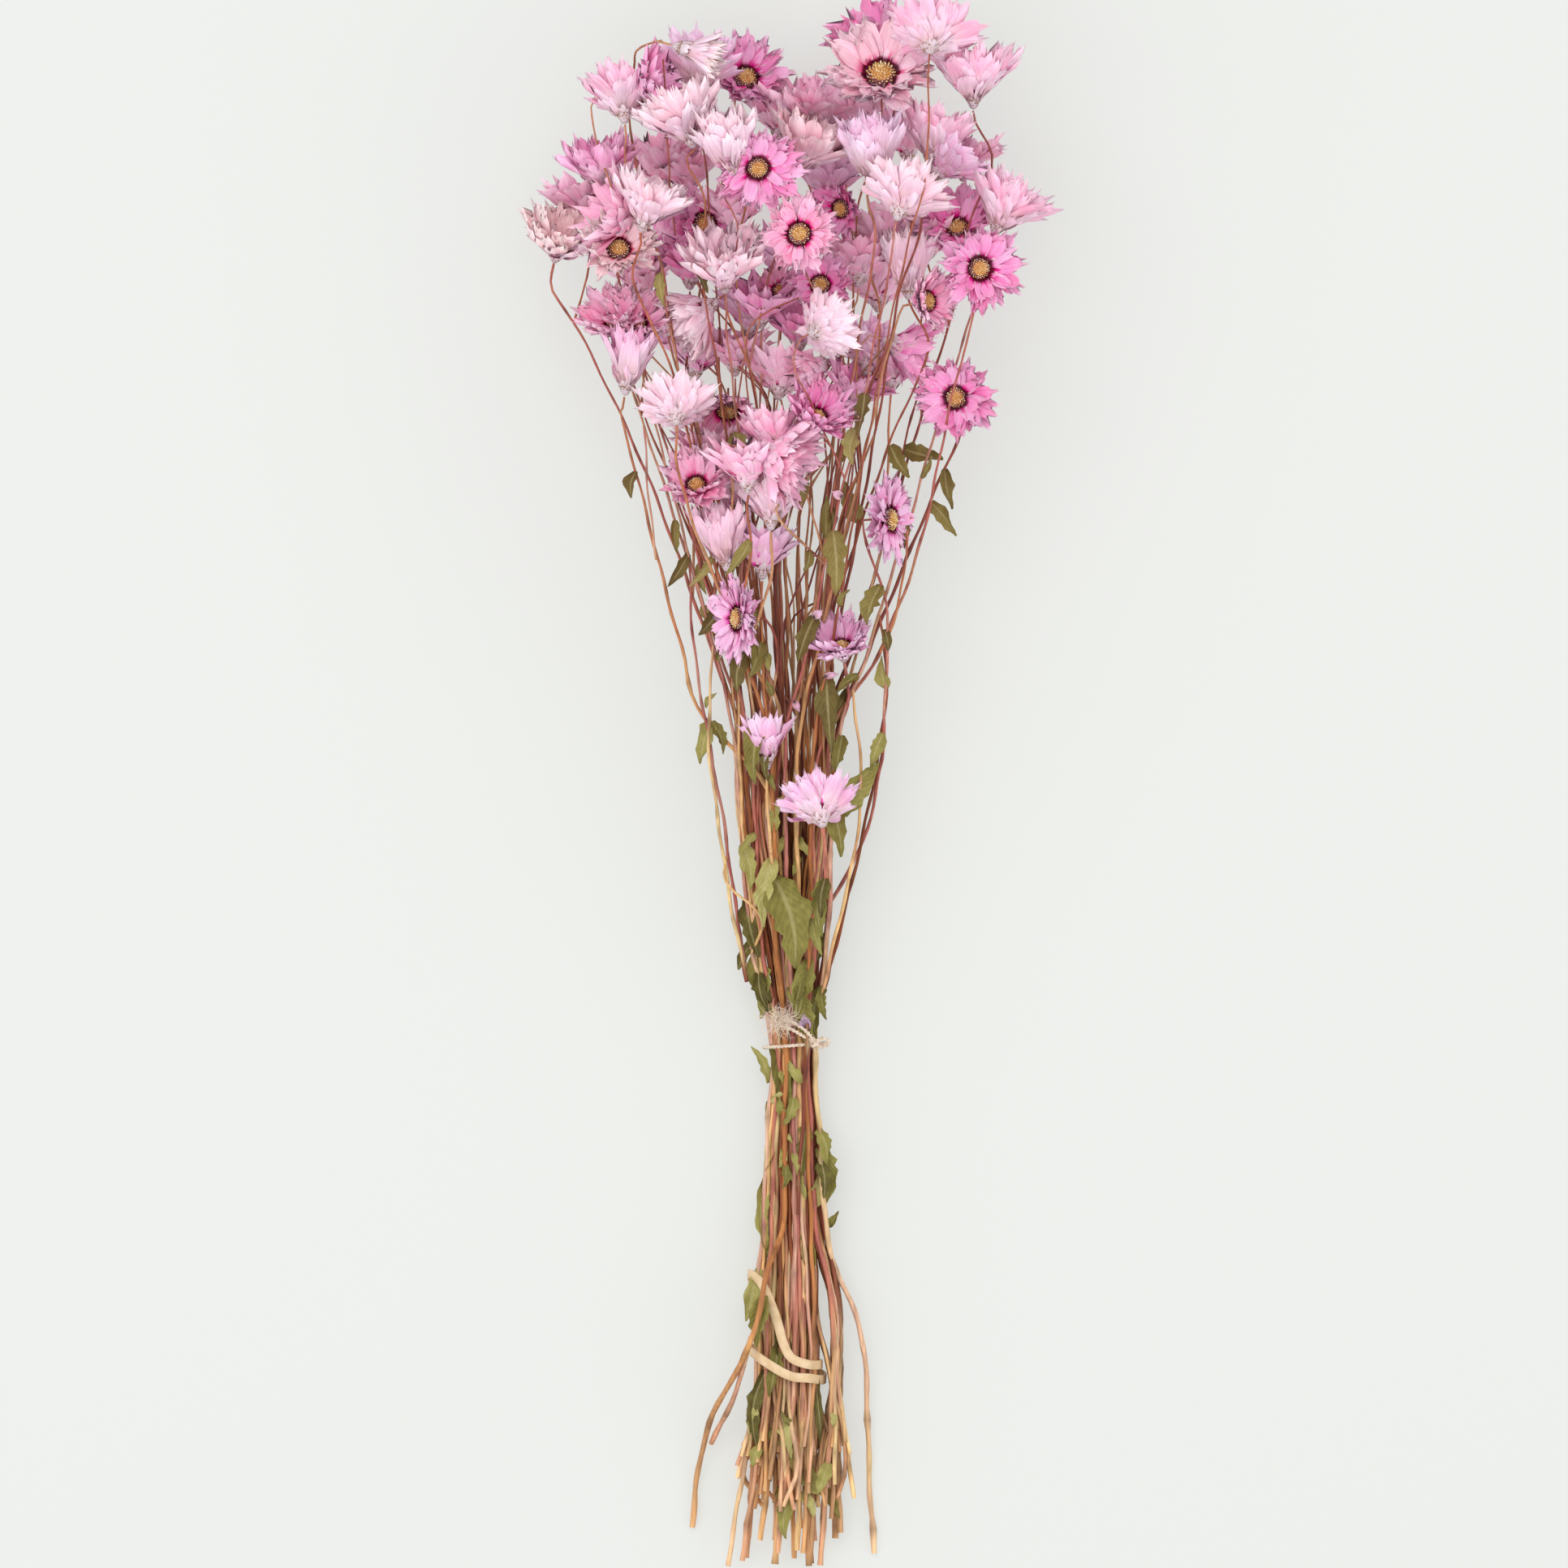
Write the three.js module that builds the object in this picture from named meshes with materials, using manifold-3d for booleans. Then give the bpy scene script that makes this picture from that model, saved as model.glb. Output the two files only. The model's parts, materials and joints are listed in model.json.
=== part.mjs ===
// A dried rhodanthe bunch that lies on its side: papery pink heads on thin forked stems with dried
// leaves, gathered by a twine tie and a rubber band.
// Millimetres. X runs across the bunch, +Y points to the heads and +Z is up; z = 0 is the surface.

import * as THREE from "three";
import { mergeVertices } from "three/addons/utils/BufferGeometryUtils.js";
import Module from "manifold-3d";

const wasm = await Module();
wasm.setup();

// Driving dimensions.
const GAP = 0.4; // air left between two pieces that nearly touch
const SLIVER = 0.02; // edges shorter than this are closed up
const CLOSED_LIFT = 60; // petals steeper than this hide the ones inside them
const CONE_DEPTH = 7.5; // scaly cone between the stem and the disc of a head
const PETAL_THICKNESS = 0.9;
const LEAF_THICKNESS = 0.8;
const LEAF_LIFT = 2.2; // a leaf rises this much off its stem before it spreads
const STEM_SIDES = 3;
const STEM_RADIUS_LOW = 1.15;
const STEM_RADIUS_HIGH = 0.6;
const STEM_COUNT = 32;
const STATION_STEP = 32; // spacing of the points of a stem above the gathered part
const TIE_Y = 192.6;
const TIE_RADIUS = 0.6;
const BAND_WIDTH = 3.4;
const BAND_THICKNESS = 0.9;
const FOOT_Y = 130; // where the stems are pressed flat on the surface
const FOOT_SIZE = [17, 10, 3];
const CENTRE = [1.982, 289.793]; // middle of the bunch across and along, which becomes the origin

// Cross-section of the gathered stems along the bunch: y, middle x, half width, middle z, half height.
const SECTIONS = [
  [0, 2, 23, 8.4, 6.2],
  [40, 4.2, 20, 9.4, 6.8],
  [72, 6.2, 16.4, 12.2, 7.2],
  [102, 5.2, 13.8, 12.5, 7.2],
  [130, 4.7, 12.6, 9.4, 7.8],
  [160, 4.3, 10.8, 10, 7],
  [192.6, 4.2, 8.8, 10.6, 6.4],
  [219, 3, 13.8, 12.6, 8.6],
  [261, 2.6, 20.6, 19, 13.5],
  [309, 2.2, 22, 27, 20],
  [360, 0, 26, 34, 26],
  [420, 0, 42, 42, 33],
  [480, 0, 74, 48, 40],
  [600, 0, 86, 50, 42],
];

// Heads: number, x, y and z of the disc, heading in degrees round the surface, tilt up from it,
// petal length, lift of the petals above the disc, disc radius, kind and tone.
// A full head has two layers of petals; a far one is half hidden and has one.
const HEADS = [
  [1, 34.5, 564.0, 34, 118, 15, 16, 47, 3.6, "far", "magenta"],
  [2, 54.6, 564.0, 80.6, 85, -50, 16, 34, 4.0, "full", "pink"],
  [3, 36.3, 551.4, 57.2, 90, 50, 17, 30, 6.2, "full", "pink"],
  [4, 70.5, 546.0, 61, 88, 0, 19, 49, 4.0, "full", "pink"],
  [5, 10.5, 534.6, 39.2, 88, 8, 20, 37, 4.2, "full", "coral"],
  [6, -59.1, 540.0, 68.4, 95, -25, 16, 47, 4.0, "full", "pink"],
  [7, -49.8, 546.9, 71.0, 24, 22, 14, 42, 3.6, "far", "vivid"],
  [8, -31.5, 551.4, 59.2, 92, -30, 16, 39, 4.0, "full", "vivid"],
  [9, -33.9, 560.4, 88, -15, 5, 12, 70, 3.0, "full", "pale"],
  [10, -13.8, 550.2, 36.4, 60, 55, 13, 34, 4.6, "full", "vivid"],
  [11, -67.2, 514.2, 54.4, 100, 5, 16, 45, 4.0, "full", "vivid"],
  [12, -35.7, 531.0, 81.6, 112, -5, 19, 45, 4.0, "full", "pale"],
  [13, -19.8, 520.5, 88, 100, 10, 18, 62, 4.0, "full", "pale"],
  [14, -9.3, 516.9, 84, -60, 75, 14, 26, 4.0, "full", "vivid"],
  [15, -50.4, 500.4, 81.6, 72, 0, 16, 45, 4.0, "full", "pale"],
  [16, -59.1, 497.4, 67, 150, 18, 18, 41, 3.8, "far", "pale"],
  [17, -83.1, 487.8, 50, 75, 35, 15, 41, 4.0, "full", "coral"],
  [18, -60.9, 486.9, 70, 90, 60, 13, 38, 4.4, "full", "coral"],
  [19, -29.1, 496.2, 44, 0, 70, 12, 32, 4.4, "full", "vivid"],
  [20, 8.1, 521.1, 63.2, 65, 5, 18, 43, 4.0, "full", "dusty"],
  [21, 32.7, 517.5, 76, 95, 5, 19, 62, 4.0, "full", "vivid"],
  [22, 55.2, 525.0, 62, 78, -10, 16, 49, 4.0, "full", "pink"],
  [23, 59.4, 517.5, 61, 45, 0, 15, 47, 3.4, "far", "pink"],
  [24, 43.5, 503.4, 84, 75, -35, 16, 38, 4.0, "full", "pale"],
  [25, 21.3, 501.9, 54, 200, 60, 10, 38, 3.4, "full", "magenta"],
  [26, 6.0, 492.6, 86, 90, 84, 11, 20, 4.2, "full", "pink"],
  [27, 64.5, 494.7, 51.6, 100, 55, 13, 36, 4.0, "full", "vivid"],
  [28, 80.7, 498.6, 64.4, 65, -10, 18, 45, 4.0, "full", "pink"],
  [29, 72.6, 479.7, 82, 0, 76, 14, 26, 4.2, "full", "vivid"],
  [30, -21.9, 477.0, 80, 95, 30, 18, 51, 4.0, "full", "pale"],
  [31, 13.8, 473.7, 62, 90, 78, 10, 30, 3.6, "full", "vivid"],
  [32, -1.2, 471.6, 44, 90, 66, 8, 42, 2.8, "far", "dusty"],
  [33, 37.5, 488.4, 40, 80, -40, 15, 37, 3.6, "far", "pale"],
  [34, 46.2, 475.5, 56, 92, 0, 18, 72, 3.4, "full", "pale"],
  [35, 53.4, 467.7, 82, 10, 42, 10, 36, 3.8, "full", "pink"],
  [36, -62.1, 460.2, 56, 112, 45, 13, 58, 3.4, "full", "pink"],
  [37, -54.0, 459.6, 57, 80, 45, 13, 58, 3.4, "full", "pink"],
  [38, -57.6, 440.1, 66, 82, 0, 17, 72, 3.4, "full", "vivid"],
  [39, -39.6, 426.9, 74, 92, -48, 13, 34, 4.0, "full", "pale"],
  [40, -30.0, 464.1, 52.8, 215, 0, 16, 47, 3.6, "full", "pale"],
  [41, -32.1, 445.2, 29.6, 84, 0, 16, 47, 3.4, "far", "vivid"],
  [42, -20.4, 427.2, 46, 270, 46, 12, 36, 4.2, "full", "dusty"],
  [43, 13.8, 457.5, 82, 25, -50, 12, 36, 4.0, "full", "pale"],
  [44, 11.7, 443.1, 50, 200, 20, 10, 62, 3.2, "far", "pink"],
  [45, 12.6, 424.8, 78, 60, 50, 14, 50, 3.8, "full", "magenta"],
  [46, 63.9, 432.0, 62, 180, 80, 13, 26, 4.0, "full", "vivid"],
  [47, 32.1, 446.4, 42, 70, -30, 15, 37, 3.6, "far", "dusty"],
  [48, -0.9, 437.4, 38, 80, -30, 15, 41, 3.6, "far", "dusty"],
  [49, -3.9, 415.5, 77, 95, 0, 14, 60, 3.4, "far", "pale"],
  [50, -4.5, 410.4, 80, -20, 20, 18, 47, 4.0, "full", "pink"],
  [51, -32.1, 399.6, 66, 100, 60, 13, 42, 3.6, "full", "pink"],
  [52, -4.5, 390.0, 66, 90, -15, 16, 53, 3.8, "full", "pale"],
  [53, -21.6, 375.0, 60, 98, 0, 18, 68, 3.8, "full", "pink"],
  [54, -17.1, 350.4, 64, 180, 30, 12, 8, 4.2, "full", "pink"],
  [55, 39.9, 387.0, 60, 0, 28, 12, 0, 4.4, "full", "pink"],
  [56, 21.6, 339.9, 50, 100, 42, 12, 42, 3.6, "full", "dusty"],
  [57, -6.3, 301.5, 42, 92, 0, 14, 72, 3.0, "far", "dusty"],
  [58, 13.5, 279.0, 54, 100, -35, 14, 38, 4.0, "full", "pale"],
  [59, -13.5, 403.8, 79, 95, 5, 16, 47, 3.4, "far", "dusty"],
  [60, -41.7, 489.0, 12, 60, 0, 16, 47, 3.4, "far", "magenta"],
  [61, -8.1, 464.4, 46, 90, 20, 16, 47, 3.4, "far", "vivid"],
  [62, 43.5, 451.2, 55, -20, -10, 14, 47, 3.2, "far", "magenta"],
  [63, 35.1, 470.4, 12.3, 90, -20, 15, 37, 3.4, "far", "dusty"],
  [64, -45.0, 515.4, 9.6, 100, 10, 16, 47, 3.4, "far", "dusty"],
  [65, -36.0, 512.4, 8.9, 90, 10, 16, 47, 3.4, "far", "dusty"],
  [66, 45.9, 525.6, 10, 90, 0, 16, 47, 3.4, "far", "dusty"],
];

// Heads that touch and hold together as one piece.
const PAIRS = [
  [6, 7],
  [13, 14],
  [16, 18],
  [22, 23],
  [32, 61],
  [36, 37],
  [49, 50, 59],
  [64, 65],
];

const TONES = {
  pink: "#eeb6d6",
  vivid: "#e48fcb",
  magenta: "#d873bd",
  pale: "#f1d3e2",
  dusty: "#d9a3b8",
  coral: "#ebb0b6",
};

// The rubber band runs round the stems left of x = 14: middle across, half width.
const BAND_MIDDLE = [0.7, 11.6];
const BAND_SHARE = 0.5;
const BAND_OUTSIDE = 17.9;

// Turns of the band: angle round the stems in degrees, y, lift off the stems.
const BAND_TURNS = [
  [180, 108, 0],
  [135, 104.5, 0],
  [110, 92, 0],
  [93, 82, 0],
  [75, 77, 0],
  [45, 74.6, 0],
  [0, 74.8, 0],
  [-45, 75.5, 0],
  [-90, 77.5, 0],
  [-135, 80, 0],
  [-180, 80.5, 0],
  [-225, 76.5, 0],
  [-250, 73, 0],
  [-270, 71.2, 0],
  [-290, 70, 0],
  [-315, 69.6, 0],
  [-360, 69, 0.8],
  [-385, 70.5, 1.5],
  [-405, 73.5, 1.5],
  [-430, 79, 1.5],
  [-450, 85, 1.1],
  [-495, 98, 0],
];

// Leaves: x and y of the root, length, width, heading in degrees, rise of the tip.
const LEAVES = [
  [-37.5, 489, 20, 7, -86, -2],
  [-49.5, 480, 13, 5, -80, -3],
  [-9, 420, 14, 8, -100, 2],
  [37.5, 432, 16, 7, -100, 2],
  [31.5, 421, 14, 7, -95, 0],
  [47, 411, 15, 8, -15, 3],
  [42, 412, 14, 7, -60, 1],
  [16, 381, 24, 10, -88, 3],
  [37, 364, 16, 8, -108, 3],
  [6, 349, 18, 8, -110, 4],
  [-14, 337, 16, 8, -100, 3],
  [24, 331, 10, 5, -140, 2],
  [-27, 315, 13, 5, -72, 1],
  [20, 310, 14, 7, -100, 3],
  [40, 309, 15, 6, -110, 2],
  [22, 279, 25, 12, 48, 4],
  [-19, 264, 17, 7, -80, 2],
  [24, 261, 15, 6, -96, 1],
  [-2, 254, 35, 17, -78, 4],
  [6, 221, 14, 6, -95, 2],
  [16, 212, 13, 5, -80, 1],
  [-13, 221, 15, 6, -76, 1],
  [-1, 186, 17, 6, -88, 2],
  [-7, 171, 9, 5, 5, 1],
  [17, 163, 14, 6, -78, 1],
  [18, 150, 14, 6, -86, 1],
  [-9, 110, 20, 8, -104, 2],
  [-2, 82, 20, 7, -100, 1],
  [-14, 61, 13, 6, -96, 1],
  [19, 36, 12, 7, -110, 2],
];

// Loose stem ends that leave the gathered part above the rubber band.
const LOOSE_END_LEFT = [
  [-33.6, 14.4, 1.7],
  [-31.5, 34.5, 3.5],
  [-27.9, 51.3, 9],
  [-21.3, 65.1, 17],
  [-11.5, 84, 24.8],
  [-6.6, 106, 25.2],
];
const LOOSE_FORK_LEFT = [
  [-11.8, 85, 24],
  [-16.6, 67, 17],
  [-26.7, 45.3, 5],
];
const LOOSE_END_RIGHT = [
  [33.6, 4.8, 1.7],
  [31.5, 40.2, 2.6],
  [31.2, 58.2, 4],
  [28.2, 89.1, 9],
  [19.5, 109.5, 11],
];

// Loose stems that bow away from the bunch on their way to a head: points from the head down.
const BOWED = {
  9: [
    [-45, 564],
    [-50.1, 565.8],
    [-55.5, 564],
    [-59.1, 561],
    [-60.9, 556.5],
    [-60, 540],
    [-58.5, 515],
  ],
  29: [
    [70.5, 463.5],
    [62.1, 447],
    [55.5, 411],
    [56.7, 385.5],
    [53.7, 369],
    [44.7, 352.2],
    [33, 333],
  ],
  38: [
    [-60.3, 426.3],
    [-55.5, 411],
    [-51, 396],
    [-48.3, 378],
    [-44.7, 358.8],
    [-37.8, 342.3],
    [-31.2, 316.5],
  ],
  55: [
    [38.4, 353.7],
    [40.5, 338.4],
    [40.2, 316.5],
    [36, 295.5],
    [29.1, 267],
  ],
  17: [
    [-85.8, 472.5],
    [-79.5, 464.1],
    [-73.8, 457.8],
    [-72.6, 450.9],
    [-68.7, 442.2],
    [-60.3, 426.3],
    [-48, 408.3],
  ],
};

// A repeatable random source, so that the bunch is the same each time.
function makeRandom(seed) {
  let state = seed;
  return () => {
    state = (state + 0x6d2b79f5) | 0;
    let value = Math.imul(state ^ (state >>> 15), 1 | state);
    value = (value + Math.imul(value ^ (value >>> 7), 61 | value)) ^ value;
    return ((value ^ (value >>> 14)) >>> 0) / 4294967296;
  };
}

const radians = (degrees) => (degrees * Math.PI) / 180;

// A closed surface that is built up from points and triangles.
class Shell {
  constructor() {
    this.points = [];
    this.faces = [];
  }

  point(x, y, z) {
    this.points.push(new THREE.Vector3(x, y, z));
    return this.points.length - 1;
  }

  polar(radius, angle, height) {
    return this.point(radius * Math.cos(angle), radius * Math.sin(angle), height);
  }

  // A level ring of points; each entry keeps its angle so that rings can be joined.
  ring(count, phase, radius, height) {
    return Array.from({ length: count }, (_, k) => {
      const angle = phase + (2 * Math.PI * k) / count;
      return { angle, at: this.polar(radius, angle, height) };
    });
  }

  face(a, b, c) {
    this.faces.push([a, b, c]);
  }

  // Joins two rings of any number of points with a band of triangles that faces outwards.
  bridge(lower, upper) {
    const angleAt = (ring, k) => ring[k % ring.length].angle + 2 * Math.PI * Math.floor(k / ring.length);
    const indexAt = (ring, k) => ring[k % ring.length].at;
    let low = 0;
    let high = 0;
    while (low < lower.length || high < upper.length) {
      const lowerIsNext = angleAt(lower, low + 1) <= angleAt(upper, high + 1);
      if (high >= upper.length || (low < lower.length && lowerIsNext)) {
        this.face(indexAt(lower, low), indexAt(lower, low + 1), indexAt(upper, high));
        low += 1;
      } else {
        this.face(indexAt(lower, low), indexAt(upper, high + 1), indexAt(upper, high));
        high += 1;
      }
    }
  }

  solid(matrix = new THREE.Matrix4()) {
    const points = this.points.map((point) => point.clone().applyMatrix4(matrix));
    const mesh = new wasm.Mesh({
      numProp: 3,
      vertProperties: new Float32Array(points.flatMap((point) => point.toArray())),
      triVerts: new Uint32Array(this.faces.flat()),
    });
    return new wasm.Manifold(mesh);
  }
}

// A place on a petal, as radius and height, for a petal that bends evenly from root to tip.
function alongPetal(layer, share, length) {
  const lift = layer.rootLift + ((layer.tipLift - layer.rootLift) * share) / 2;
  return {
    radius: layer.rootRadius + length * share * Math.cos(lift),
    height: layer.rootHeight + length * share * Math.sin(lift),
    lift,
  };
}

// One ring of pointed petals with sharp edges and a raised rib, notched between petals.
function addPetals(shell, lower, layer, random) {
  const { count, phase, reach } = layer;
  const step = (2 * Math.PI) / count;
  const notches = lower.map(({ angle }) => {
    const place = alongPetal(layer, layer.notch, reach * (0.9 + 0.2 * random()));
    return shell.polar(place.radius, angle, place.height);
  });
  const upper = shell.ring(count, phase, layer.topRadius, layer.topHeight);
  for (let k = 0; k < count; k += 1) {
    const next = (k + 1) % count;
    const angle = phase + (k + 0.5 + 0.16 * (random() - 0.5)) * step;
    const length = reach * (0.86 + 0.22 * random());
    const bent = { ...layer, tipLift: layer.tipLift + 0.2 * (random() - 0.5) };
    const tipPlace = alongPetal(bent, 1, length);
    const tip = shell.polar(tipPlace.radius, angle, tipPlace.height);
    const ribPlace = alongPetal(bent, 0.52, length);
    const rib = shell.polar(
      ribPlace.radius - layer.thickness * Math.sin(ribPlace.lift),
      angle,
      ribPlace.height + layer.thickness * Math.cos(ribPlace.lift),
    );
    const from = [lower[k].at, lower[next].at];
    const cut = [notches[k], notches[next]];
    const inner = [upper[k].at, upper[next].at];
    const keel = shell.polar(ribPlace.radius, angle, ribPlace.height);
    shell.face(from[0], from[1], keel);
    shell.face(from[1], cut[1], keel);
    shell.face(from[0], keel, cut[0]);
    if (layer.wide) {
      const place = alongPetal(bent, 0.7, length);
      const spread = Math.min(layer.halfWidth / place.radius, step * 0.4);
      const left = shell.polar(place.radius, angle - spread, place.height);
      const right = shell.polar(place.radius, angle + spread, place.height);
      shell.face(keel, cut[1], right);
      shell.face(keel, right, tip);
      shell.face(keel, tip, left);
      shell.face(keel, left, cut[0]);
      shell.face(rib, tip, right);
      shell.face(rib, right, cut[1]);
      shell.face(rib, cut[0], left);
      shell.face(rib, left, tip);
    } else {
      shell.face(keel, cut[1], tip);
      shell.face(keel, tip, cut[0]);
      shell.face(rib, tip, cut[1]);
      shell.face(rib, cut[0], tip);
    }
    shell.face(rib, cut[1], inner[1]);
    shell.face(rib, inner[1], inner[0]);
    shell.face(rib, inner[0], cut[0]);
  }
  return upper;
}

// The cone of short scales below the petals.
function addScales(shell, head) {
  const base = shell.point(0, 0, -CONE_DEPTH);
  const foot = shell.ring(4, 0, 1.3, -CONE_DEPTH + 0.9);
  foot.forEach((entry, k) => shell.face(base, foot[(k + 1) % foot.length].at, entry.at));
  const scales = Array.from({ length: 8 }, (_, k) => {
    const angle = (2 * Math.PI * k) / 8;
    const isTip = k % 2 === 1;
    const radius = head.disc * (isTip ? 1.3 : 0.72);
    const height = -CONE_DEPTH * (isTip ? 0.4 : 0.58);
    return { angle, at: shell.polar(radius, angle, height) };
  });
  shell.bridge(foot, scales);
  return scales;
}

// The domed disc in the middle of a head.
function addDisc(shell, lower, head) {
  const shoulder = shell.ring(lower.length, lower[0].angle, head.disc * 0.55, head.disc * 0.42);
  shell.bridge(lower, shoulder);
  const top = shell.point(0, 0, head.disc * 0.52);
  shoulder.forEach((entry, k) => shell.face(entry.at, shoulder[(k + 1) % shoulder.length].at, top));
}

function headShell(head) {
  const random = makeRandom(head.id * 977);
  const shell = new Shell();
  const { disc } = head;
  const lift = radians(head.lift);
  const outerCount = head.full ? Math.min(Math.round(head.reach / 2) + 1, 7) : 6;
  const scales = addScales(shell, head);
  const outer = {
    count: outerCount,
    phase: 0.2,
    reach: head.reach,
    rootRadius: disc * 0.9,
    rootHeight: -1.4,
    rootLift: Math.min(lift + 0.15, 1.4),
    tipLift: lift - 0.1,
    notch: 0.5,
    halfWidth: 0.27 * head.reach,
    wide: head.full,
    thickness: PETAL_THICKNESS,
    topRadius: disc * 0.92,
    topHeight: -0.3,
  };
  const root = shell.ring(outerCount, outer.phase, disc * 0.82, -1.9);
  shell.bridge(scales, root);
  const outerTop = addPetals(shell, root, outer, random);
  if (!head.full || head.lift >= CLOSED_LIFT) {
    addDisc(shell, outerTop, head);
    return shell;
  }
  const inner = {
    count: 4,
    phase: 0.5,
    reach: head.reach * 0.74,
    rootRadius: disc * 0.8,
    rootHeight: 0.4,
    rootLift: Math.min(lift + 0.5, 1.46),
    tipLift: Math.min(lift + 0.3, 1.42),
    notch: 0.4,
    halfWidth: 0,
    wide: false,
    thickness: PETAL_THICKNESS * 0.8,
    topRadius: disc * 0.72,
    topHeight: 0.9,
  };
  const innerRoot = shell.ring(inner.count, inner.phase, disc * 0.88, 0.1);
  shell.bridge(outerTop, innerRoot);
  const innerTop = addPetals(shell, innerRoot, inner, random);
  addDisc(shell, innerTop, head);
  return shell;
}

// The way a head faces, its place and its roll.
function headMatrix(head) {
  const turn = new THREE.Quaternion().setFromUnitVectors(new THREE.Vector3(0, 0, 1), head.facing);
  const roll = new THREE.Quaternion().setFromAxisAngle(new THREE.Vector3(0, 0, 1), head.id * 1.7);
  return new THREE.Matrix4().compose(head.centre, turn.multiply(roll), new THREE.Vector3(1, 1, 1));
}

function readHead([id, x, y, z, heading, tilt, reach, lift, disc, kind, tone]) {
  const flat = Math.cos(radians(tilt));
  const facing = new THREE.Vector3(
    flat * Math.cos(radians(heading)),
    flat * Math.sin(radians(heading)),
    Math.sin(radians(tilt)),
  );
  const centre = new THREE.Vector3(x, y, z);
  const base = centre.clone().addScaledVector(facing, -CONE_DEPTH - GAP);
  return { id, centre, facing, base, reach, lift, disc, tone, full: kind === "full" };
}

const heads = HEADS.map(readHead);

// The cross-section of the gathered stems at a place along the bunch.
function sectionAt(y) {
  const above = SECTIONS.findIndex((section) => section[0] > y);
  const high = above < 0 ? SECTIONS.length - 1 : Math.max(above, 1);
  const [from, to] = [SECTIONS[high - 1], SECTIONS[high]];
  const share = Math.min(Math.max((y - from[0]) / (to[0] - from[0]), 0), 1);
  const [, x, halfWidth, z, halfHeight] = from.map((value, k) => value + (to[k] - value) * share);
  return { x, halfWidth, z, halfHeight };
}

// A stem keeps its share of the cross-section all along the gathered part. Beside the rubber band
// the stems on the right stay outside it.
function inSection(slot, y) {
  const section = sectionAt(y);
  const free = section.x + slot.across * section.halfWidth;
  const banded = slot.across < BAND_SHARE
    ? BAND_MIDDLE[0] + BAND_MIDDLE[1] * ((2 * (slot.across + 1)) / (BAND_SHARE + 1) - 1)
    : BAND_OUTSIDE + 9 * (slot.across - BAND_SHARE);
  const hold = THREE.MathUtils.smoothstep(y, 40, 66) * (1 - THREE.MathUtils.smoothstep(y, 92, 125));
  return new THREE.Vector3(
    free + (banded - free) * hold,
    y,
    section.z + slot.up * section.halfHeight,
  );
}

// Places of the stems in the cross-section, packed like seeds in a seed head.
const slots = Array.from({ length: STEM_COUNT }, (_, k) => {
  const radius = Math.sqrt((k + 0.5) / STEM_COUNT);
  const angle = k * 2.39996;
  return { across: radius * Math.cos(angle), up: radius * Math.sin(angle), taken: false };
});

// Moves the points of a stem sideways out of the heads that it passes.
function bendClear(points, own) {
  for (let pass = 0; pass < 24; pass += 1) {
    for (let k = 1; k < points.length - 2; k += 1) {
      for (const head of heads) {
        if (head === own || points[k].y < 250) {
          continue;
        }
        const middle = head.centre.clone().addScaledVector(head.facing, 0.18 * head.reach);
        const away = points[k].clone().sub(middle);
        const room = 0.7 * head.reach + 0.6 * head.disc + 2.5;
        if (away.length() < room) {
          away.y = 0;
          points[k].addScaledVector(away.normalize(), 0.9);
        }
      }
      points[k].z = Math.max(points[k].z, 2);
      if (k > 2) {
        const between = points[k - 1].clone().lerp(points[k + 1], 0.5);
        points[k].lerp(between, 0.12);
      }
    }
  }
  return points;
}

// The top of a stem, from its head down to where it turns towards the tie.
function stemTop(head) {
  const top = [head.base.clone()];
  const bow = BOWED[head.id] ?? [];
  top.push(head.base.clone().addScaledVector(head.facing, -4));
  if (bow.length === 0) {
    top.push(head.base.clone().addScaledVector(head.facing, -9).add(new THREE.Vector3(0, -8, 0)));
  }
  const low = inSection({ across: 0, up: 0 }, bow.length > 0 ? bow.at(-1)[1] : 0);
  bow.forEach(([x, y], k) => {
    const share = (k + 1) / bow.length;
    top.push(new THREE.Vector3(x, y, head.centre.z + share * (low.z - head.centre.z)));
  });
  top.forEach((point) => {
    point.z = Math.max(point.z, 1.6);
  });
  return top;
}

// Points between two places, a station apart, with a slight waver.
function wander(from, to, random) {
  const count = Math.max(1, Math.round(from.distanceTo(to) / STATION_STEP));
  return Array.from({ length: count - 1 }, (_, k) => {
    const point = from.clone().lerp(to, (k + 1) / count);
    point.x += 2.4 * (random() - 0.5);
    point.z += 2.4 * (random() - 0.5);
    return point;
  });
}

function takeSlot(head) {
  const section = sectionAt(head.base.y);
  const across = (head.base.x - section.x) / section.halfWidth;
  const up = (head.base.z - section.z) / section.halfHeight;
  const free = slots.filter((slot) => !slot.taken);
  const miss = (slot) => Math.hypot(slot.across - across, slot.up - up);
  free.sort((a, b) => miss(a) - miss(b));
  free[0].taken = true;
  return free[0];
}

// The part of a stem below its fork or its open part, from the tie zone to the cut end.
function stemTail(slot, random) {
  const cut = 38 * random() ** 1.6;
  const stations = [232, TIE_Y, 158, 128, 96, 70].filter((y) => y > cut + 14);
  const points = stations.map((y) => inSection(slot, y));
  points.push(inSection(slot, cut));
  return points;
}

function looseTail(slot, ends) {
  const points = [232, TIE_Y, 158, 128].map((y) => inSection(slot, y));
  return points.concat([...ends].reverse().map((end) => new THREE.Vector3(...end)));
}

// A stem from its head to its cut end.
function mainStem(head, slot, tail) {
  const random = makeRandom(head.id * 31 + 5);
  const top = stemTop(head);
  const from = top[top.length - 1];
  const joinY = Math.min(309, from.y - 30);
  const join = joinY > 250 ? [inSection(slot, joinY)] : [];
  const to = join[0] ?? tail[0];
  const points = bendClear([...top, ...wander(from, to, random), ...join], head);
  return [...points, ...tail];
}

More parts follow.
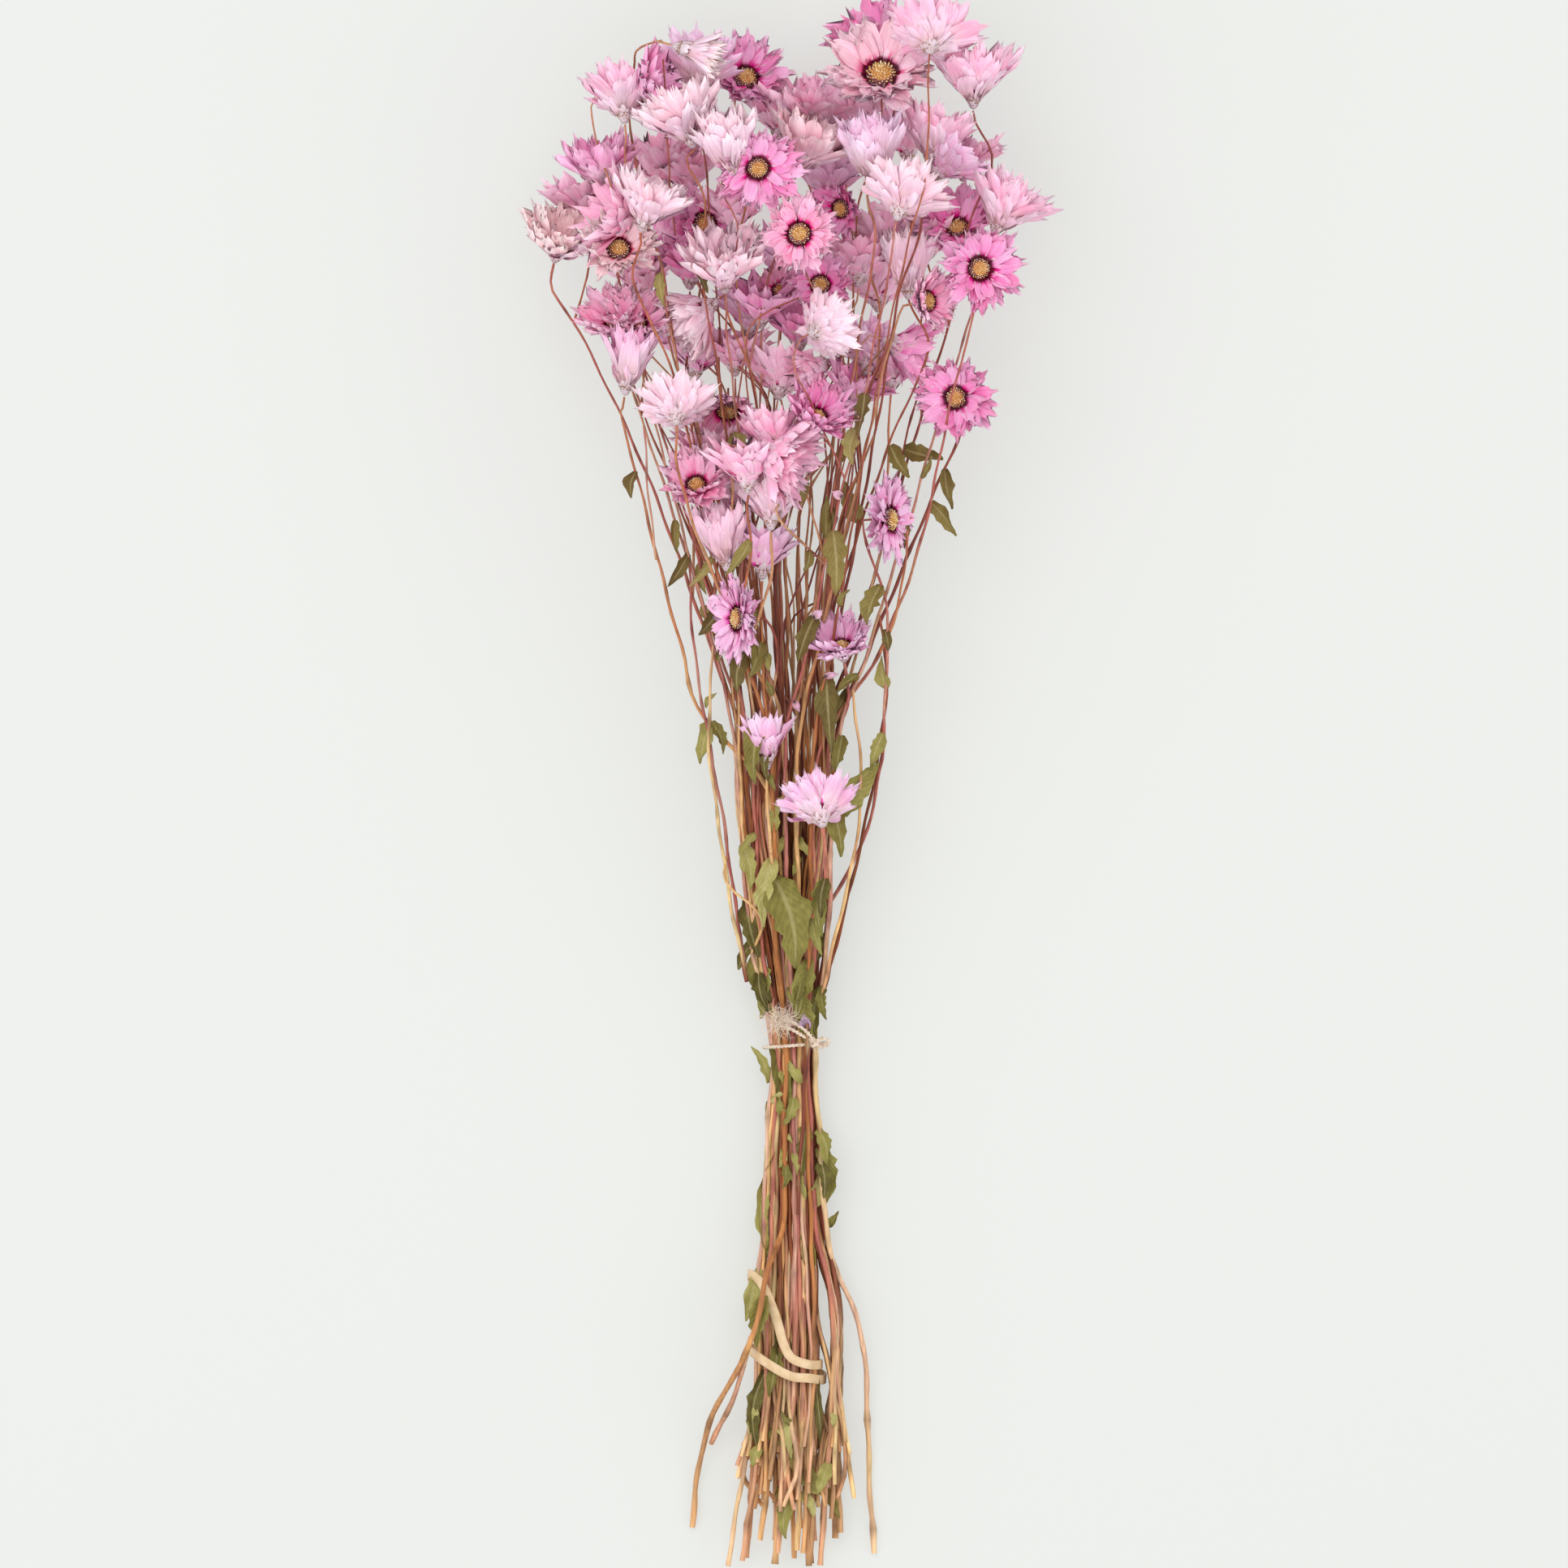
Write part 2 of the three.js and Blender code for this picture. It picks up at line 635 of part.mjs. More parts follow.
// The centres of the rings of a tube along a smooth curve.
function tubePlaces(points, segments) {
  const curve = new THREE.CatmullRomCurve3(points, false, "centripetal");
  return curve.getSpacedPoints(segments);
}

const order = [...heads].sort((a, b) => Math.abs(b.base.x) - Math.abs(a.base.x));
const withStem = order.filter((head) => head.full).slice(0, STEM_COUNT);
const stems = withStem.map((head) => ({ head, slot: takeSlot(head) }));
const towards = (slot, across, up) => slot.across * across + slot.up * up;
const leftmost = stems.reduce((a, b) => (towards(b.slot, -1, 1) > towards(a.slot, -1, 1) ? b : a));
const rightmost = stems.reduce((a, b) => (towards(b.slot, 1, 0) > towards(a.slot, 1, 0) ? b : a));
for (const stem of stems) {
  const random = makeRandom(stem.head.id * 53 + 11);
  let tail = stemTail(stem.slot, random);
  if (stem === leftmost) {
    tail = looseTail(stem.slot, LOOSE_END_LEFT);
  }
  if (stem === rightmost) {
    tail = looseTail(stem.slot, LOOSE_END_RIGHT);
  }
  stem.points = mainStem(stem.head, stem.slot, tail);
  stem.places = tubePlaces(stem.points, stem.points.length - 1);
}

// A branch from its head to the nearest main stem below it.
function branch(head) {
  const random = makeRandom(head.id * 71 + 3);
  const top = stemTop(head);
  const from = top[top.length - 1];
  let best = null;
  for (const stem of stems) {
    for (const point of stem.places) {
      const isBelow = point.y < from.y - 18 && point.y > from.y - 110 && point.y > TIE_Y + 12;
      const miss = Math.hypot(point.x - from.x, point.z - from.z) + 0.25 * (from.y - point.y);
      if (isBelow && (best === null || miss < best.miss)) {
        best = { point, miss };
      }
    }
  }
  const points = [...top, ...wander(from, best.point, random)];
  bendClear([...points, best.point.clone()], head);
  return [...points, best.point.clone()];
}

const branches = order.filter((head) => !withStem.includes(head)).map((head) => ({ head, points: branch(head) }));

// A closed tube with few sides along a smooth curve through the points.
function tube(points, radiusAt, sides, segments) {
  const curve = new THREE.CatmullRomCurve3(points, false, "centripetal");
  const frames = curve.computeFrenetFrames(segments, false);
  const shell = new Shell();
  const rings = [];
  for (let k = 0; k <= segments; k += 1) {
    const place = curve.getPointAt(k / segments);
    const radius = radiusAt(place);
    rings.push(
      Array.from({ length: sides }, (_, side) => {
        const angle = (2 * Math.PI * side) / sides;
        const point = place
          .clone()
          .addScaledVector(frames.normals[k], radius * Math.cos(angle))
          .addScaledVector(frames.binormals[k], radius * Math.sin(angle));
        return shell.point(point.x, point.y, point.z);
      }),
    );
  }
  for (let k = 0; k < segments; k += 1) {
    for (let side = 0; side < sides; side += 1) {
      const next = (side + 1) % sides;
      shell.face(rings[k][side], rings[k][next], rings[k + 1][side]);
      shell.face(rings[k][next], rings[k + 1][next], rings[k + 1][side]);
    }
  }
  for (let side = 1; side < sides - 1; side += 1) {
    shell.face(rings[0][0], rings[0][side + 1], rings[0][side]);
    shell.face(rings[segments][0], rings[segments][side], rings[segments][side + 1]);
  }
  return shell.solid();
}

// Stems are thick at the cut end and thin below the heads.
function stemRadius(place, extra = 0) {
  const share = Math.min(Math.max((place.y - 190) / 240, 0), 1);
  return STEM_RADIUS_LOW + (STEM_RADIUS_HIGH - STEM_RADIUS_LOW) * share + extra;
}

function stemTube(points, extra = 0) {
  return tube(points, (place) => stemRadius(place, extra), STEM_SIDES, points.length - 1);
}

// A leaf blade, folded along its rib, with two teeth on each edge.
function leafBlade(root, [, , length, width, heading, rise]) {
  const random = makeRandom(Math.round(root.x * 10 + root.y * 7));
  const shell = new Shell();
  const forward = new THREE.Vector3(Math.cos(radians(heading)), Math.sin(radians(heading)), 0);
  const side = new THREE.Vector3(-forward.y, forward.x, 0);
  const place = (along, across, up) => {
    const point = root.clone().addScaledVector(forward, along * length).addScaledVector(side, across);
    point.z += up + rise * along + LEAF_LIFT * Math.min(Math.max(along, 0) / 0.3, 1);
    return shell.point(point.x, point.y, point.z);
  };
  const half = width / 2;
  const start = place(-0.04, 0, 0);
  const tip = place(1, 0.12 * width, -0.5);
  const edge = (share, sign) => place(share, sign * half * (0.8 + 0.4 * random()), 1.2 * random());
  const left = [edge(0.3, 1), edge(0.66, 0.8)];
  const right = [edge(0.3, -1), edge(0.66, -0.8)];
  const thickness = LEAF_THICKNESS / 2;
  const top = [place(0.36, 0, thickness), place(0.62, 0, thickness)];
  const bottom = [place(0.36, 0, -thickness), place(0.62, 0, -thickness)];
  const cover = (rib, flip) => {
    const add = (a, b, c) => (flip ? shell.face(a, c, b) : shell.face(a, b, c));
    add(start, rib[0], left[0]);
    add(left[0], rib[0], left[1]);
    add(rib[0], rib[1], left[1]);
    add(left[1], rib[1], tip);
    add(start, right[0], rib[0]);
    add(right[0], right[1], rib[0]);
    add(rib[0], right[1], rib[1]);
    add(right[1], tip, rib[1]);
  };
  cover(top, false);
  cover(bottom, true);
  return shell.solid();
}

// The place on a stem nearest to where a leaf grows, in front of the others.
const stemPlaces = [...stems, ...branches].flatMap(({ points }) => {
  const rings = tubePlaces(points, points.length - 1).slice(1);
  const along = (k, share) => rings[k].clone().lerp(rings[k + 1], share);
  return rings.slice(0, -1).flatMap((_, k) => [0, 0.2, 0.4, 0.6, 0.8].map((share) => along(k, share)));
});

function leafRoot([x, y]) {
  const cost = (point) => Math.hypot(point.x - x, point.y - y) - 0.45 * point.z;
  return stemPlaces.reduce((a, b) => (cost(b) < cost(a) ? b : a)).clone();
}

const leafRoots = LEAVES.map((leaf) => leafRoot(leaf));

function fromGeometry(geometry, matrix) {
  geometry.deleteAttribute("normal");
  geometry.deleteAttribute("uv");
  const merged = mergeVertices(geometry);
  merged.applyMatrix4(matrix);
  return new wasm.Manifold(
    new wasm.Mesh({
      numProp: 3,
      vertProperties: new Float32Array(merged.attributes.position.array),
      triVerts: new Uint32Array(merged.index.array),
    }),
  );
}

// The stems fill the tie: a smaller core stands in for the ones in the middle of it.
function tieCore() {
  const section = sectionAt(TIE_Y);
  const matrix = new THREE.Matrix4()
    .makeTranslation(section.x, TIE_Y, section.z)
    .scale(new THREE.Vector3(section.halfWidth, 1, section.halfHeight));
  return fromGeometry(new THREE.CylinderGeometry(1, 1, 9, 12), matrix);
}

function foot() {
  const matrix = new THREE.Matrix4().makeTranslation(sectionAt(FOOT_Y).x, FOOT_Y, FOOT_SIZE[2] / 2);
  return fromGeometry(new THREE.BoxGeometry(...FOOT_SIZE), matrix);
}

// Drops loose scraps and keeps the largest body.
function largest(solid) {
  const bodies = solid.simplify(SLIVER).decompose();
  return bodies.reduce((a, b) => (b.volume() > a.volume() ? b : a));
}

const aboveSurface = (solid) => solid.trimByPlane([0, 0, 1], 0);

function buildStems() {
  const tubes = [...stems, ...branches].map(({ points }) => stemTube(points));
  const fork = stemTube(LOOSE_FORK_LEFT.map((end) => new THREE.Vector3(...end)));
  const blades = LEAVES.map((leaf, k) => leafBlade(leafRoots[k], leaf));
  const all = wasm.Manifold.union([...tubes, fork, ...blades, tieCore(), foot()]);
  const wrapped = all.subtract(wasm.Manifold.union([buildTwine(GAP), buildBand(GAP)]));
  return largest(aboveSurface(wrapped));
}

// Air round the stems and leaves, cut out of the petals that they press against.
function stemAir() {
  const tubes = [...stems, ...branches].map(({ points }) => stemTube(points, GAP));
  const cube = wasm.Manifold.cube([2 * GAP, 2 * GAP, 2 * GAP], true);
  const blades = LEAVES.map((leaf, k) => leafBlade(leafRoots[k], leaf).minkowskiSum(cube));
  return [...tubes, ...blades].map((solid) => ({ solid, box: solid.boundingBox() }));
}

const boxesMeet = (a, b) => [0, 1, 2].every((k) => a.min[k] < b.max[k] && b.min[k] < a.max[k]);

function buildHead(head, air) {
  const whole = aboveSurface(headShell(head).solid(headMatrix(head)));
  const box = whole.boundingBox();
  const near = air.filter((part) => boxesMeet(part.box, box)).map((part) => part.solid);
  return near.length > 0 ? largest(whole.subtract(wasm.Manifold.union(near))) : whole;
}

// A place round the gathered stems, on a rounded box rather than an ellipse.
function roundBunch(ring, angle, outward) {
  const { middle, half, squareness } = ring;
  const across = Math.abs(Math.cos(angle)) / (half[0] + outward);
  const up = Math.abs(Math.sin(angle)) / (half[1] + outward);
  const radius = (across ** squareness + up ** squareness) ** (-1 / squareness);
  return [middle[0] + radius * Math.cos(angle), middle[1] + radius * Math.sin(angle)];
}

function tieRing() {
  const section = sectionAt(TIE_Y);
  return { middle: [section.x, section.z], half: [section.halfWidth, section.halfHeight], squareness: 2 };
}

// One wrap of twine with a knot on the upper right, a small loop and two ends.
function buildTwine(extra = 0) {
  const ring = tieRing();
  const outward = STEM_RADIUS_LOW + GAP + TIE_RADIUS + 0.4;
  const onRing = (angle, y, out) => {
    const [x, z] = roundBunch(ring, angle, out);
    return new THREE.Vector3(x, y, z);
  };
  const knotAngle = radians(46);
  const wrap = Array.from({ length: 22 }, (_, k) => {
    const angle = knotAngle + radians(2 + 16.9 * k);
    return onRing(angle, TIE_Y + 0.8 * Math.cos(angle), outward);
  });
  const knot = onRing(knotAngle, TIE_Y + 0.9, outward + 0.5);
  const from = (x, y, z) => knot.clone().add(new THREE.Vector3(x, y, z));
  const strand = (points, segments) => tube(points, () => TIE_RADIUS + extra, 3, segments);
  const loop = [from(0, 0, 0.4), from(3, 1.7, -0.4), from(5.6, 0.5, -1.8), from(3.2, -1.5, -1), from(0, -0.2, 0)];
  const firstEnd = [from(0.4, 0, 0.4), from(-4, 2.6, 3.2), from(-8.4, 5, 4), from(-12.6, 6.8, 3.8)];
  const secondEnd = [from(0.2, 0.4, 0.6), from(-2.6, 4, 3.8), from(-6.6, 7, 4.4), from(-11, 9.2, 4.4)];
  const lump = new THREE.Matrix4().makeTranslation(knot.x, knot.y, knot.z);
  lump.scale(new THREE.Vector3(1.9 + extra, 1.6 + extra, 1.5 + extra));
  const parts = [strand([...wrap, knot.clone()], 24), strand(loop, 8), strand(firstEnd, 4), strand(secondEnd, 4)];
  parts.push(fromGeometry(new THREE.IcosahedronGeometry(1, 0), lump));
  return largest(wasm.Manifold.union(parts));
}

// The rubber band: a flat strip wound twice round the stems, slanting across the front.
function buildBand(extra = 0) {
  const ring = {
    middle: [BAND_MIDDLE[0], sectionAt(76).z],
    half: [BAND_MIDDLE[1], sectionAt(76).halfHeight],
    squareness: 4,
  };
  const rest = STEM_RADIUS_LOW + GAP + 0.3;
  const path = BAND_TURNS.map(([angle, y, lift]) => {
    const [x, z] = roundBunch(ring, radians(angle), rest + lift);
    return new THREE.Vector3(x, y, z);
  });
  const curve = new THREE.CatmullRomCurve3(path, true, "centripetal");
  const shell = new Shell();
  const steps = 46;
  const rings = Array.from({ length: steps }, (_, k) => {
    const place = curve.getPointAt(k / steps);
    const along = curve.getTangentAt(k / steps);
    const out = new THREE.Vector3(place.x - ring.middle[0], 0, 1.6 * (place.z - ring.middle[1]));
    out.addScaledVector(along, -out.dot(along)).normalize();
    const wide = new THREE.Vector3().crossVectors(along, out);
    const corner = (across, depth) => {
      const point = place.clone().addScaledVector(wide, across * BAND_WIDTH).addScaledVector(out, depth);
      return shell.point(point.x, point.y, point.z);
    };
    const side = 0.5 + extra / BAND_WIDTH;
    const outer = BAND_THICKNESS + extra;
    return [corner(-side, -extra), corner(side, -extra), corner(side, outer), corner(-side, outer)];
  });
  for (let k = 0; k < steps; k += 1) {
    const here = rings[k];
    const there = rings[(k + 1) % steps];
    for (let side = 0; side < 4; side += 1) {
      const next = (side + 1) % 4;
      shell.face(here[side], there[side], here[next]);
      shell.face(here[next], there[side], there[next]);
    }
  }
  return shell.solid();
}

function toGeometry(solid) {
  const mesh = solid.getMesh();
  const geometry = new THREE.BufferGeometry();
  geometry.setAttribute("position", new THREE.BufferAttribute(new Float32Array(mesh.vertProperties), 3));
  geometry.setIndex(new THREE.BufferAttribute(new Uint32Array(mesh.triVerts), 1));
  geometry.computeVertexNormals();
  return geometry;
}

const bunch = new THREE.Group();

function addPiece(name, solid, color, roughness) {
  const material = new THREE.MeshStandardMaterial({ color, roughness, metalness: 0 });
  const mesh = new THREE.Mesh(toGeometry(solid), material);
  mesh.name = name;
  bunch.add(mesh);
}

const air = stemAir();
const number = (id) => String(id).padStart(2, "0");
const paired = new Set(PAIRS.flat());

for (const head of heads.filter(({ id }) => !paired.has(id))) {
  addPiece(`bloom_${number(head.id)}`, buildHead(head, air), TONES[head.tone], 0.85);
}

for (const ids of PAIRS) {
  const members = ids.map((id) => heads.find((head) => head.id === id));
  const solids = members.map((head) => buildHead(head, air));
  const joined = wasm.Manifold.union(solids);
  addPiece(`bloom_pair_${ids.map(number).join("_")}`, largest(joined), TONES[members[0].tone], 0.85);
}

addPiece("stems", buildStems(), "#b07a55", 0.8);
addPiece("twine_tie", buildTwine(), "#d7c8b8", 0.95);
addPiece("rubber_band", buildBand(), "#debe96", 0.6);
bunch.position.set(-CENTRE[0], -CENTRE[1], 0);

export default bunch;
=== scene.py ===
# %% [markdown]
# # A dried rhodanthe bunch
# Rhodanthe is an everlasting daisy. Each head is a domed disc of tiny florets inside many dry, papery
# bracts, which look like petals. The heads sit on thin forked stems, and the bunch lies on its side,
# gathered by a twine tie and a flat rubber band.
#
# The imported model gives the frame: metres, +Y towards the heads, +Z up, and the surface at z = 0. Its
# plain solids are replaced here by finer pieces that stand in the same places.

# %% Load the frame
import json
import math

import bpy
import numpy as np
from mathutils import Matrix, Vector

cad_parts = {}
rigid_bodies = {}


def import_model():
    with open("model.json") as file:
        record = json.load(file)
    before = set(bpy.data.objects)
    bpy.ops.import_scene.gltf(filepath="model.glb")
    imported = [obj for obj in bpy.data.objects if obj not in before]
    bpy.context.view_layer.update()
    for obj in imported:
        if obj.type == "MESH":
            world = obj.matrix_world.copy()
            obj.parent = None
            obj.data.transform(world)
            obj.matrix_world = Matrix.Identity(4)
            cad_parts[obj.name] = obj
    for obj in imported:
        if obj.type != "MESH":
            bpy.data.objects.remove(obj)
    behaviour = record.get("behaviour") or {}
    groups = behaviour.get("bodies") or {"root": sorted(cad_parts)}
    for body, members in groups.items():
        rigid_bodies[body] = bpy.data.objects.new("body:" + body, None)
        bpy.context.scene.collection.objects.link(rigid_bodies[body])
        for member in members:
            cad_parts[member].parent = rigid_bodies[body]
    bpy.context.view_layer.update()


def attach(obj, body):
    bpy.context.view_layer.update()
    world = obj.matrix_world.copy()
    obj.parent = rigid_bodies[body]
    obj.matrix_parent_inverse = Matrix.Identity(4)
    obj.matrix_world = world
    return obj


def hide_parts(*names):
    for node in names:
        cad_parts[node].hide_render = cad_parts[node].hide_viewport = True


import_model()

MM = 0.001
CENTRE = (1.982, 289.793)  # middle of the bunch in the grower's measures, in millimetres
TO_FRAME = Matrix.Scale(MM, 4) @ Matrix.Translation((-CENTRE[0], -CENTRE[1], 0.0))

# %% [markdown]
# ## Camera, surface and light
# The bunch was photographed upright against a pale ground, and a loose bunch can only lie down, so the
# camera looks straight down on it. A view without perspective keeps every head where the photo has it:
# one photo unit is 0.30 mm. Big soft lamps and a bright sky give the flat light of a studio table, and
# the surface gives off a little light of its own, as a light table does.

# %% Camera, surface and light
PHOTO_UNITS = 1932
UNIT = 0.30  # millimetres of the bunch in one photo unit
photo_middle = (0.3 - CENTRE[0], 289.2 - CENTRE[1])
camera_data = bpy.data.cameras.new("camera")
camera_data.type = "ORTHO"
camera_data.ortho_scale = PHOTO_UNITS * UNIT * MM
camera = bpy.data.objects.new("camera", camera_data)
camera.location = (photo_middle[0] * MM, photo_middle[1] * MM, 1.2)
bpy.context.collection.objects.link(camera)
bpy.context.scene.camera = camera


def area_lamp(name, place, size, watts, colour=(1.0, 1.0, 1.0)):
    data = bpy.data.lights.new(name, "AREA")
    data.size = size
    data.energy = watts
    data.color = colour
    lamp = bpy.data.objects.new(name, data)
    lamp.location = place
    lamp.rotation_euler = Vector(place).to_track_quat("Z", "Y").to_euler()
    bpy.context.collection.objects.link(lamp)


area_lamp("lamp_over", (-0.3, 0.35, 1.5), 1.5, 10.9)
area_lamp("lamp_side", (1.3, -0.2, 0.9), 1.0, 3, (1.0, 0.98, 0.96))
area_lamp("lamp_low", (-1.2, -0.8, 0.7), 1.0, 2.4, (0.96, 0.98, 1.0))
sky = bpy.data.worlds.new("sky")
sky.use_nodes = True
sky.node_tree.nodes["Background"].inputs["Color"].default_value = (0.97, 0.985, 1.0, 1.0)
sky.node_tree.nodes["Background"].inputs["Strength"].default_value = 0.84
bpy.context.scene.world = sky
bpy.context.scene.view_settings.view_transform = "Standard"

# %% [markdown]
# ## Shared helpers
# Colours are written as they look on screen, 0 to 255, and turned into the linear numbers that shaders
# use. `add` places a node, sets what it is told and links what it is given. A `Number` is a value in a
# node tree: adding or multiplying it makes the Math node for that, so a formula reads like one.

# %% Helpers for colours, nodes and meshes
def linear(red, green, blue):
    def one(value):
        share = value / 255
        return share / 12.92 if share <= 0.04045 else ((share + 0.055) / 1.055) ** 2.4

    return (one(red), one(green), one(blue), 1.0)


def add(tree, kind, inputs=None, **settings):
    node = tree.nodes.new(kind)
    for name, value in settings.items():
        setattr(node, name, value)
    for key, value in (inputs or {}).items():
        value = getattr(value, "socket", value)
        if isinstance(value, bpy.types.NodeSocket):
            tree.links.new(value, node.inputs[key])
        else:
            node.inputs[key].default_value = value
    return node


def maths(tree, operation, *values):
    node = add(tree, "ShaderNodeMath", dict(enumerate(values)), operation=operation)
    return Number(tree, node.outputs[0])


class Number:
    def __init__(self, tree, socket):
        self.tree, self.socket = tree, socket

    def __add__(self, other):
        return maths(self.tree, "ADD", self, other)

    def __sub__(self, other):
        return maths(self.tree, "SUBTRACT", self, other)

    def __rsub__(self, other):
        return maths(self.tree, "SUBTRACT", other, self)

    def __mul__(self, other):
        return maths(self.tree, "MULTIPLY", self, other)

    def __truediv__(self, other):
        return maths(self.tree, "DIVIDE", self, other)

    def __rtruediv__(self, other):
        return maths(self.tree, "DIVIDE", other, self)


def combine(tree, x, y, z):
    return add(tree, "ShaderNodeCombineXYZ", {0: x, 1: y, 2: z}).outputs[0]


def ring_points(radius, height, count):
    turns = [2 * math.pi * k / count for k in range(count)]
    return [(radius * math.cos(turn), radius * math.sin(turn), height) for turn in turns]


def ring_faces(low, high, count):
    """The faces between two rings of points, given by the number of each ring's first point."""
    pairs = [(k, (k + 1) % count) for k in range(count)]
    return [(low + a, low + b, high + b, high + a) for a, b in pairs]


def put(mesh_name, points, faces, materials=(), smooth=True):
    mesh = bpy.data.meshes.new(mesh_name)
    mesh.from_pydata([tuple(point) for point in points], [], faces)
    for material in materials:
        mesh.materials.append(material)
    mesh.polygons.foreach_set("use_smooth", [smooth] * len(mesh.polygons))
    thing = bpy.data.objects.new(mesh_name, mesh)
    bpy.context.collection.objects.link(thing)
    return thing


def random_source(seed):
    """Numbers from 0 to 1, the same each time for a seed."""
    state = seed & 0xFFFFFFFF

    def times(a, b):
        return (a * b) & 0xFFFFFFFF

    def draw():
        nonlocal state
        state = (state + 0x6D2B79F5) & 0xFFFFFFFF
        value = times(state ^ (state >> 15), 1 | state)
        value = ((value + times(value ^ (value >> 7), 61 | value)) & 0xFFFFFFFF) ^ value
        return (value ^ (value >> 14)) / 4294967296

    return draw


# %% Helpers for finishes
def new_finish(name, roughness, shine=0.5):
    """A new material and its node tree."""
    material = bpy.data.materials.new(name)
    material.use_nodes = True
    inputs = material.node_tree.nodes["Principled BSDF"].inputs
    inputs["Roughness"].default_value = roughness
    inputs["Specular IOR Level"].default_value = shine
    return material, material.node_tree


def dress(tree, colour, height=None, strength=0.5, distance=0.0002):
    """Gives a material its colour and, from a height, its relief."""
    inputs = tree.nodes["Principled BSDF"].inputs
    tree.links.new(colour, inputs["Base Color"])
    if height is not None:
        relief = add(tree, "ShaderNodeBump", {"Strength": strength, "Distance": distance, "Height": height})
        tree.links.new(relief.outputs[0], inputs["Normal"])


def colour_mix(tree, share, first, second, blend="MIX"):
    inputs = {0: share, 6: first, 7: second}
    return add(tree, "ShaderNodeMix", inputs, data_type="RGBA", blend_type=blend).outputs[2]


def shade_of(tree, colour, value):
    """A colour made darker or lighter by a number."""
    grey = add(tree, "ShaderNodeCombineColor", {0: value, 1: value, 2: value}).outputs[0]
    return colour_mix(tree, 1.0, colour, grey, "MULTIPLY")


def smooth_step(value, low, high):
    inputs = {0: value, 1: low, 2: high, 3: 0.0, 4: 1.0}
    node = add(value.tree, "ShaderNodeMapRange", inputs, interpolation_type="SMOOTHSTEP")
    return Number(value.tree, node.outputs[0])


def attribute(tree, name):
    return Number(tree, add(tree, "ShaderNodeAttribute", attribute_name=name).outputs["Fac"])


def object_place(tree):
    return add(tree, "ShaderNodeTexCoord").outputs["Object"]


def parts_of(tree, place):
    parts = add(tree, "ShaderNodeSeparateXYZ", {0: place}).outputs
    return [Number(tree, part) for part in parts]


def noise(tree, place, scale, detail):
    node = add(tree, "ShaderNodeTexNoise", {"Vector": place, "Scale": scale, "Detail": detail})
    return Number(tree, node.outputs[0])


def stretched_noise(tree, scale, stretch=(1.0, 1.0, 1.0), detail=3.0):
    drawn = add(tree, "ShaderNodeMapping", {"Vector": object_place(tree), "Scale": stretch})
    return noise(tree, drawn.outputs[0], scale, detail)


def ramp_of(tree, value, stops):
    ramp = add(tree, "ShaderNodeValToRGB", {0: value})
    elements = ramp.color_ramp.elements
    elements.remove(elements[1])
    elements[0].position, elements[0].color = stops[0][0], linear(*stops[0][1])
    for place, colour in stops[1:]:
        elements.new(place).color = linear(*colour)
    return ramp.outputs[0]


# %% The surface
floor_paint, floor_tree = new_finish("surface_paint", 0.9)
floor_inputs = floor_tree.nodes["Principled BSDF"].inputs
floor_inputs["Base Color"].default_value = linear(150, 152, 149)
floor_inputs["Emission Color"].default_value = linear(254, 255, 251)
floor_inputs["Emission Strength"].default_value = 0.48
surface = put("surface", [(-8, -8, 0), (8, -8, 0), (8, 8, 0), (-8, 8, 0)], [(0, 1, 2, 3)], [floor_paint])

# %% [markdown]
# ## Dry, papery bracts
# A dried bract is thin like paper. It is deepest in colour where it joins the disc, with a dark maroon
# foot, and fades to a pale tip, and fine veins run along it. The gradient follows the bract's own UV
# map (V runs from root to tip, and U past 2 marks the outside), and the `tone` attribute makes no two
# bracts the same. The effect is one shader group, and each colour of head gives it its own colours.

# %% Shader group for the bracts
COLOUR, NUMBER = "NodeSocketColor", "NodeSocketFloat"
WHITE = (1.0, 1.0, 1.0, 1.0)
BRACT_COLOURS = ("Tip", "Middle", "Base", "Foot", "Outside")


def group_with(name, inputs, outputs):
    group = bpy.data.node_groups.new(name, "ShaderNodeTree")
    for label, kind, value in inputs:
        socket = group.interface.new_socket(name=label, in_out="INPUT", socket_type=kind)
        socket.default_value = value
    for label, kind in outputs:
        group.interface.new_socket(name=label, in_out="OUTPUT", socket_type=kind)
    return group, group.nodes.new("NodeGroupInput").outputs, group.nodes.new("NodeGroupOutput").inputs


